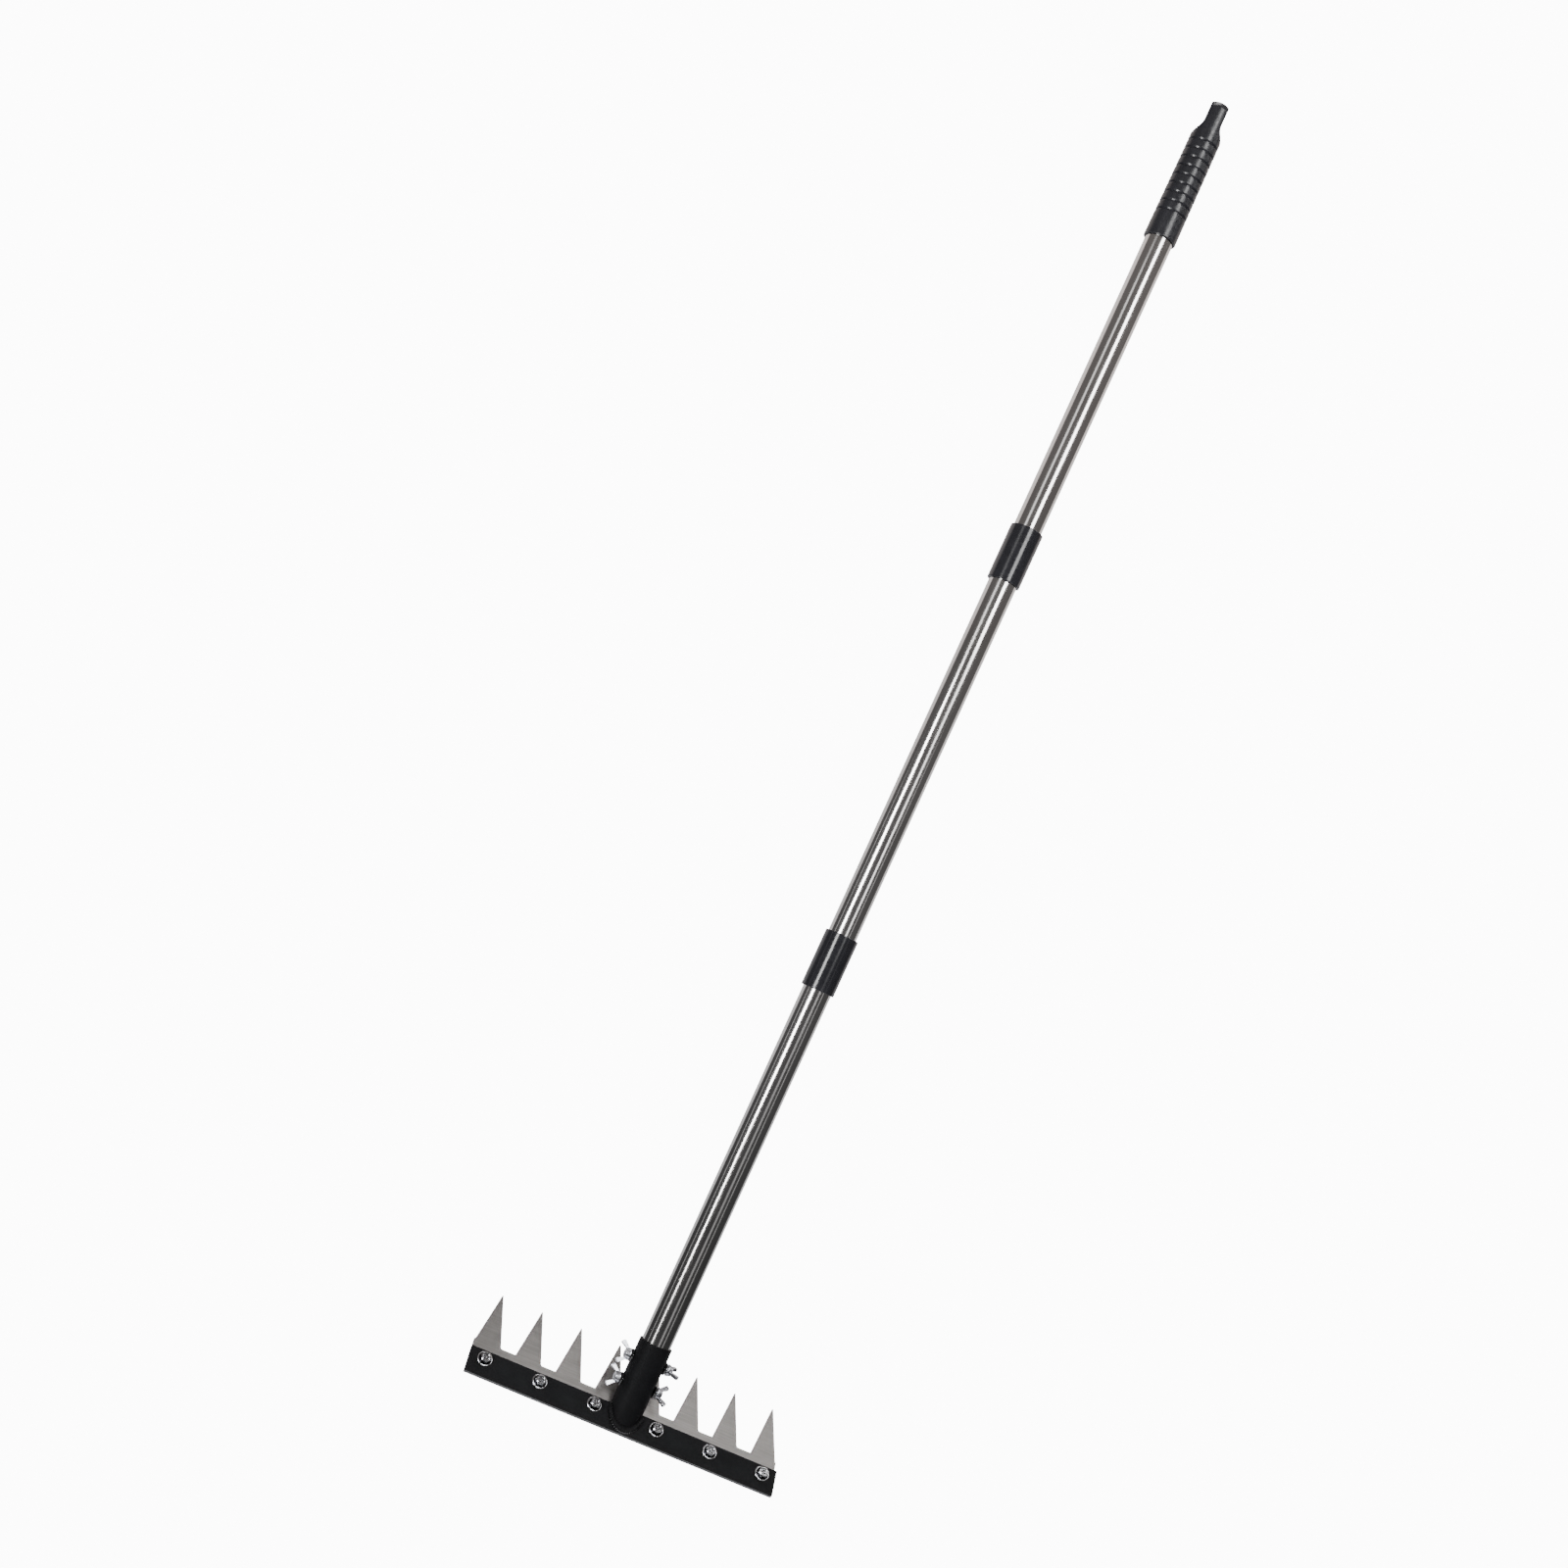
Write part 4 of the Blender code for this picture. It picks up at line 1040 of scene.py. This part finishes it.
def wing_mesh():
    """A hub and two wings run together as one casting, its edges soft."""
    hub = [
        (0.0, WING_SOCKET_DEPTH),
        (BOLT_HOLE_RADIUS, WING_SOCKET_DEPTH),
        (BOLT_HOLE_RADIUS, 0.0),
        (WING_HUB_RADIUS, 0.0),
        (WING_HUB_RADIUS, HUB_FOOT * WING_HUB_HEIGHT),
        (WING_HUB_TOP_RADIUS, HUB_SHOULDER * WING_HUB_HEIGHT),
        (HUB_CROWN * WING_HUB_TOP_RADIUS, WING_HUB_HEIGHT),
        (0.0, WING_HUB_HEIGHT),
    ]
    body = as_mesh(spun(hub, FASTENER_STEPS), "wing_hub")
    flat = as_mesh(drawn_up(wing_outline(), -WING_HALF_THICKNESS, WING_HALF_THICKNESS), "wing_flat")
    flat.transform(Matrix.Rotation(math.pi / 2.0, 4, "Z") @ Matrix.Rotation(math.pi / 2.0, 4, "X"))
    other = turned_copy(flat, Matrix.Rotation(math.pi, 4, "Z"))
    cast = in_scene("casting", joined(body, [flat, other], "UNION"))
    blend = cast.modifiers.new("run_together", "REMESH")
    blend.mode = "VOXEL"
    blend.voxel_size = CAST_VOXEL
    tumble = cast.modifiers.new("tumble", "SMOOTH")
    tumble.factor = 0.5
    tumble.iterations = 3
    return settled(cast)


stud = stud_mesh()
wing = wing_mesh()
for (level, side), lean in WING_TURNS.items():
    outward = SIDES[side]
    seat = Matrix.Translation((outward * WING_SEATS[side], 0.0, SCREW_HEIGHTS[level]))
    out = Matrix.Rotation(outward * math.pi / 2.0, 4, "Y")
    node = f"wing_stud_{level}_{side}"
    fit(turned_copy(stud, seat @ out), f"{node}_thread", zinc, f"stud_{level}_{side}", node)
    turn = Matrix.Rotation(math.radians(90.0 - lean), 4, "X")
    casting = turned_copy(wing, seat @ turn @ out)
    node = f"wing_head_{level}_{side}"
    fit(casting, f"{node}_cast", cast_zinc, f"wing_{level}_{side}", node, CAST_ANGLE)


# Floor: a plain pale sheet below the hanging rake, as bright as the studio's white wall.
# It lies low enough for the head at the end of every joint's travel.
FLOOR_HEIGHT = -1.34
FLOOR_RADIUS = 6.0
FLOOR_STEPS = 64
WHITE_LEVEL = 12.0

bm = bmesh.new()
bmesh.ops.create_circle(bm, cap_ends=True, radius=FLOOR_RADIUS, segments=FLOOR_STEPS)
bmesh.ops.inset_region(bm, faces=bm.faces[:], thickness=0.5 * FLOOR_RADIUS)
bmesh.ops.translate(bm, verts=bm.verts, vec=(0.0, 0.0, FLOOR_HEIGHT))
floor = in_scene("floor", as_mesh(bm, "floor"))
paper, tree, surface, place = finish_named("white_paper")
surface["Base Color"].default_value = linear("#000000")
surface["Roughness"].default_value = 1.0
surface["Specular IOR Level"].default_value = 0.0
surface["Emission Color"].default_value = (1.0, 1.0, 1.0, 1.0)
surface["Emission Strength"].default_value = WHITE_LEVEL
floor.data.materials.append(paper)
floor.visible_glossy = False
floor.visible_diffuse = False
floor.visible_shadow = False


# Studio: a dim room in front of the rake and a lit white wall behind it.
# Two tall soft boxes stand before it, the left one low and the right one high.
CAMERA_PLACE = Vector((-0.4614, -1.7810, -0.8801))
WALL_SWING = 0.12
toward_camera = Vector((CAMERA_PLACE.x, CAMERA_PLACE.y, 0.0)).normalized()
to_its_right = Vector((-toward_camera.y, toward_camera.x, 0.0))

room = bpy.data.worlds.new("studio")
room.use_nodes = True
bpy.context.scene.world = room
tree = room.node_tree
tree.nodes.clear()
direction = add_node(tree, "ShaderNodeTexCoord").outputs["Generated"]
away = add_node(
    tree,
    "ShaderNodeVectorMath",
    {"operation": "DOT_PRODUCT", 1: tuple(-toward_camera - WALL_SWING * to_its_right)},
    {0: direction},
)
up = add_node(tree, "ShaderNodeSeparateXYZ", None, {0: direction}).outputs["Z"]
# The wall reaches a little further round, and is brighter, at the height of the grip
slant = add_node(
    tree,
    "ShaderNodeMapRange",
    {"From Min": -0.2, "From Max": 0.3, "To Min": -0.12, "To Max": 0.19},
    {"Value": up},
)
reach = add_node(
    tree, "ShaderNodeMath", {"operation": "ADD"}, {0: slant.outputs["Result"], 1: away.outputs["Value"]}
)
wall_edge = add_node(
    tree, "ShaderNodeMapRange", {"From Min": 0.36, "From Max": 0.47}, {"Value": reach.outputs["Value"]}
)
wall_light = add_node(
    tree,
    "ShaderNodeMapRange",
    {"From Min": -0.15, "From Max": 0.35, "To Min": 0.8, "To Max": 1.4},
    {"Value": up},
)
wall_top = add_node(
    tree,
    "ShaderNodeMapRange",
    {"From Min": 0.35, "From Max": 0.7, "To Max": 0.25},
    {"Value": up, "To Min": wall_light.outputs["Result"]},
)
wall = add_node(
    tree,
    "ShaderNodeMath",
    {"operation": "MULTIPLY"},
    {0: wall_edge.outputs["Result"], 1: wall_top.outputs["Result"]},
)
dim = add_node(
    tree,
    "ShaderNodeMapRange",
    {"From Min": -0.15, "From Max": 0.35, "To Min": 0.05, "To Max": 0.19},
    {"Value": up},
)
glow = add_node(
    tree, "ShaderNodeMath", {"operation": "MAXIMUM"}, {0: wall.outputs["Value"], 1: dim.outputs["Result"]}
)
# The pale floor right below the rake lights the edges that face down
below = add_node(
    tree, "ShaderNodeMapRange", {"From Min": -0.7, "From Max": -0.8, "To Max": 1.6}, {"Value": up}
)
around = add_node(
    tree, "ShaderNodeMath", {"operation": "MAXIMUM"}, {0: glow.outputs["Value"], 1: below.outputs["Result"]}
)
warmth = add_node(tree, "ShaderNodeMapRange", {"From Min": -0.1, "From Max": 0.3}, {"Value": up})
tint = add_node(tree, "ShaderNodeMix", between("#fcfcff", "#fdf4f1"), {0: warmth.outputs["Result"]})
room_light = add_node(
    tree, "ShaderNodeBackground", None, {"Color": tint.outputs[2], "Strength": around.outputs["Value"]}
)
# The camera itself sees plain white behind the rake
backdrop = add_node(tree, "ShaderNodeBackground", {"Strength": WHITE_LEVEL})
backdrop.inputs["Color"].default_value = linear("#ffffff")
seen = add_node(
    tree,
    "ShaderNodeMixShader",
    None,
    {
        "Fac": add_node(tree, "ShaderNodeLightPath").outputs["Is Camera Ray"],
        1: room_light.outputs["Background"],
        2: backdrop.outputs["Background"],
    },
)
add_node(tree, "ShaderNodeOutputWorld", None, {"Surface": seen.outputs["Shader"]})


def soft_box(name, width, height, brightness):
    """A soft box of a size in metres, seen only by what it lights."""
    lamp = bpy.data.lights.new(name, "AREA")
    lamp.shape = "RECTANGLE"
    lamp.size = width
    lamp.size_y = height
    lamp.energy = brightness * math.pi * width * height
    box = in_scene(name, lamp)
    box.visible_camera = False
    return box


# Upright boxes that face the pole: degrees to the camera's right, lower and upper end, width
# and brightness. The left one narrows towards the floor, and each has a weak edge beyond it.
BOX_DISTANCE = 1.6
UPRIGHT_BOXES = {
    "left_box": (-27.5, -1.02, -0.30, 0.38, 21.0),
    "left_box_low": (-30.5, -1.28, -1.02, 0.21, 18.0),
    "left_box_foot": (-31.5, -1.62, -1.28, 0.10, 10.0),
    "left_box_edge": (-30.5, -0.30, 0.48, 0.40, 1.4),
    "right_box": (28.0, 0.10, 1.10, 0.54, 11.5),
    "right_box_low": (25.0, -0.22, 0.10, 0.58, 11.5),
    "right_box_edge": (27.5, -0.75, -0.22, 0.34, 3.0),
    "right_box_foot": (26.0, -1.60, -0.75, 0.36, 0.42),
    "far_left_strip": (-69.0, -1.62, -0.45, 0.13, 0.6),
    "far_right_strip": (56.0, -1.62, -0.40, 0.16, 0.5),
}
for name, (bearing, low, high, width, brightness) in UPRIGHT_BOXES.items():
    angle = math.radians(bearing)
    towards = math.cos(angle) * toward_camera + math.sin(angle) * to_its_right
    box = soft_box(name, width, high - low, brightness)
    box.location = BOX_DISTANCE * towards + Vector((0.0, 0.0, (low + high) / 2.0))
    box.rotation_euler = (-towards).to_track_quat("-Z", "Y").to_euler()

# Level boxes above, facing down: place across and along, length, width, degrees turned from X
# and brightness. One lights the blade's face, and one behind lights the bolts' and wings' tops.
CEILING_HEIGHT = 1.35
CEILING_BOXES = {
    "ceiling_box": (1.7, -0.7, 1.0, 1.0, 0.0, 5.4),
    "ceiling_lamp": (-0.19, 0.31, 0.70, 0.28, 31.5, 6.0),
}
for name, (across, along, length, width, turn, brightness) in CEILING_BOXES.items():
    box = soft_box(name, length, width, brightness)
    box.location = (across, along, CEILING_HEIGHT)
    box.rotation_euler.z = math.radians(turn)


# Camera: a 50 mm lens low in front of the rake and to its left, tilted so that the rake leans.
# The ways that its back and its right side face were fitted to the outline of the rake.
CAMERA_BACK = Vector((-0.1978, -0.9753, -0.0980))
CAMERA_RIGHT = Vector((0.8814, -0.2207, 0.4176))
eye = bpy.data.cameras.new("camera")
eye.lens = 50.0
eye.sensor_width = 36.0
eye.clip_start = 0.01
eye.clip_end = 50.0
camera = in_scene("camera", eye)
back = CAMERA_BACK.normalized()
right = (CAMERA_RIGHT - back * CAMERA_RIGHT.dot(back)).normalized()
view = Matrix((right, back.cross(right), back)).transposed().to_4x4()
view.translation = CAMERA_PLACE
camera.matrix_world = view
bpy.context.scene.camera = camera
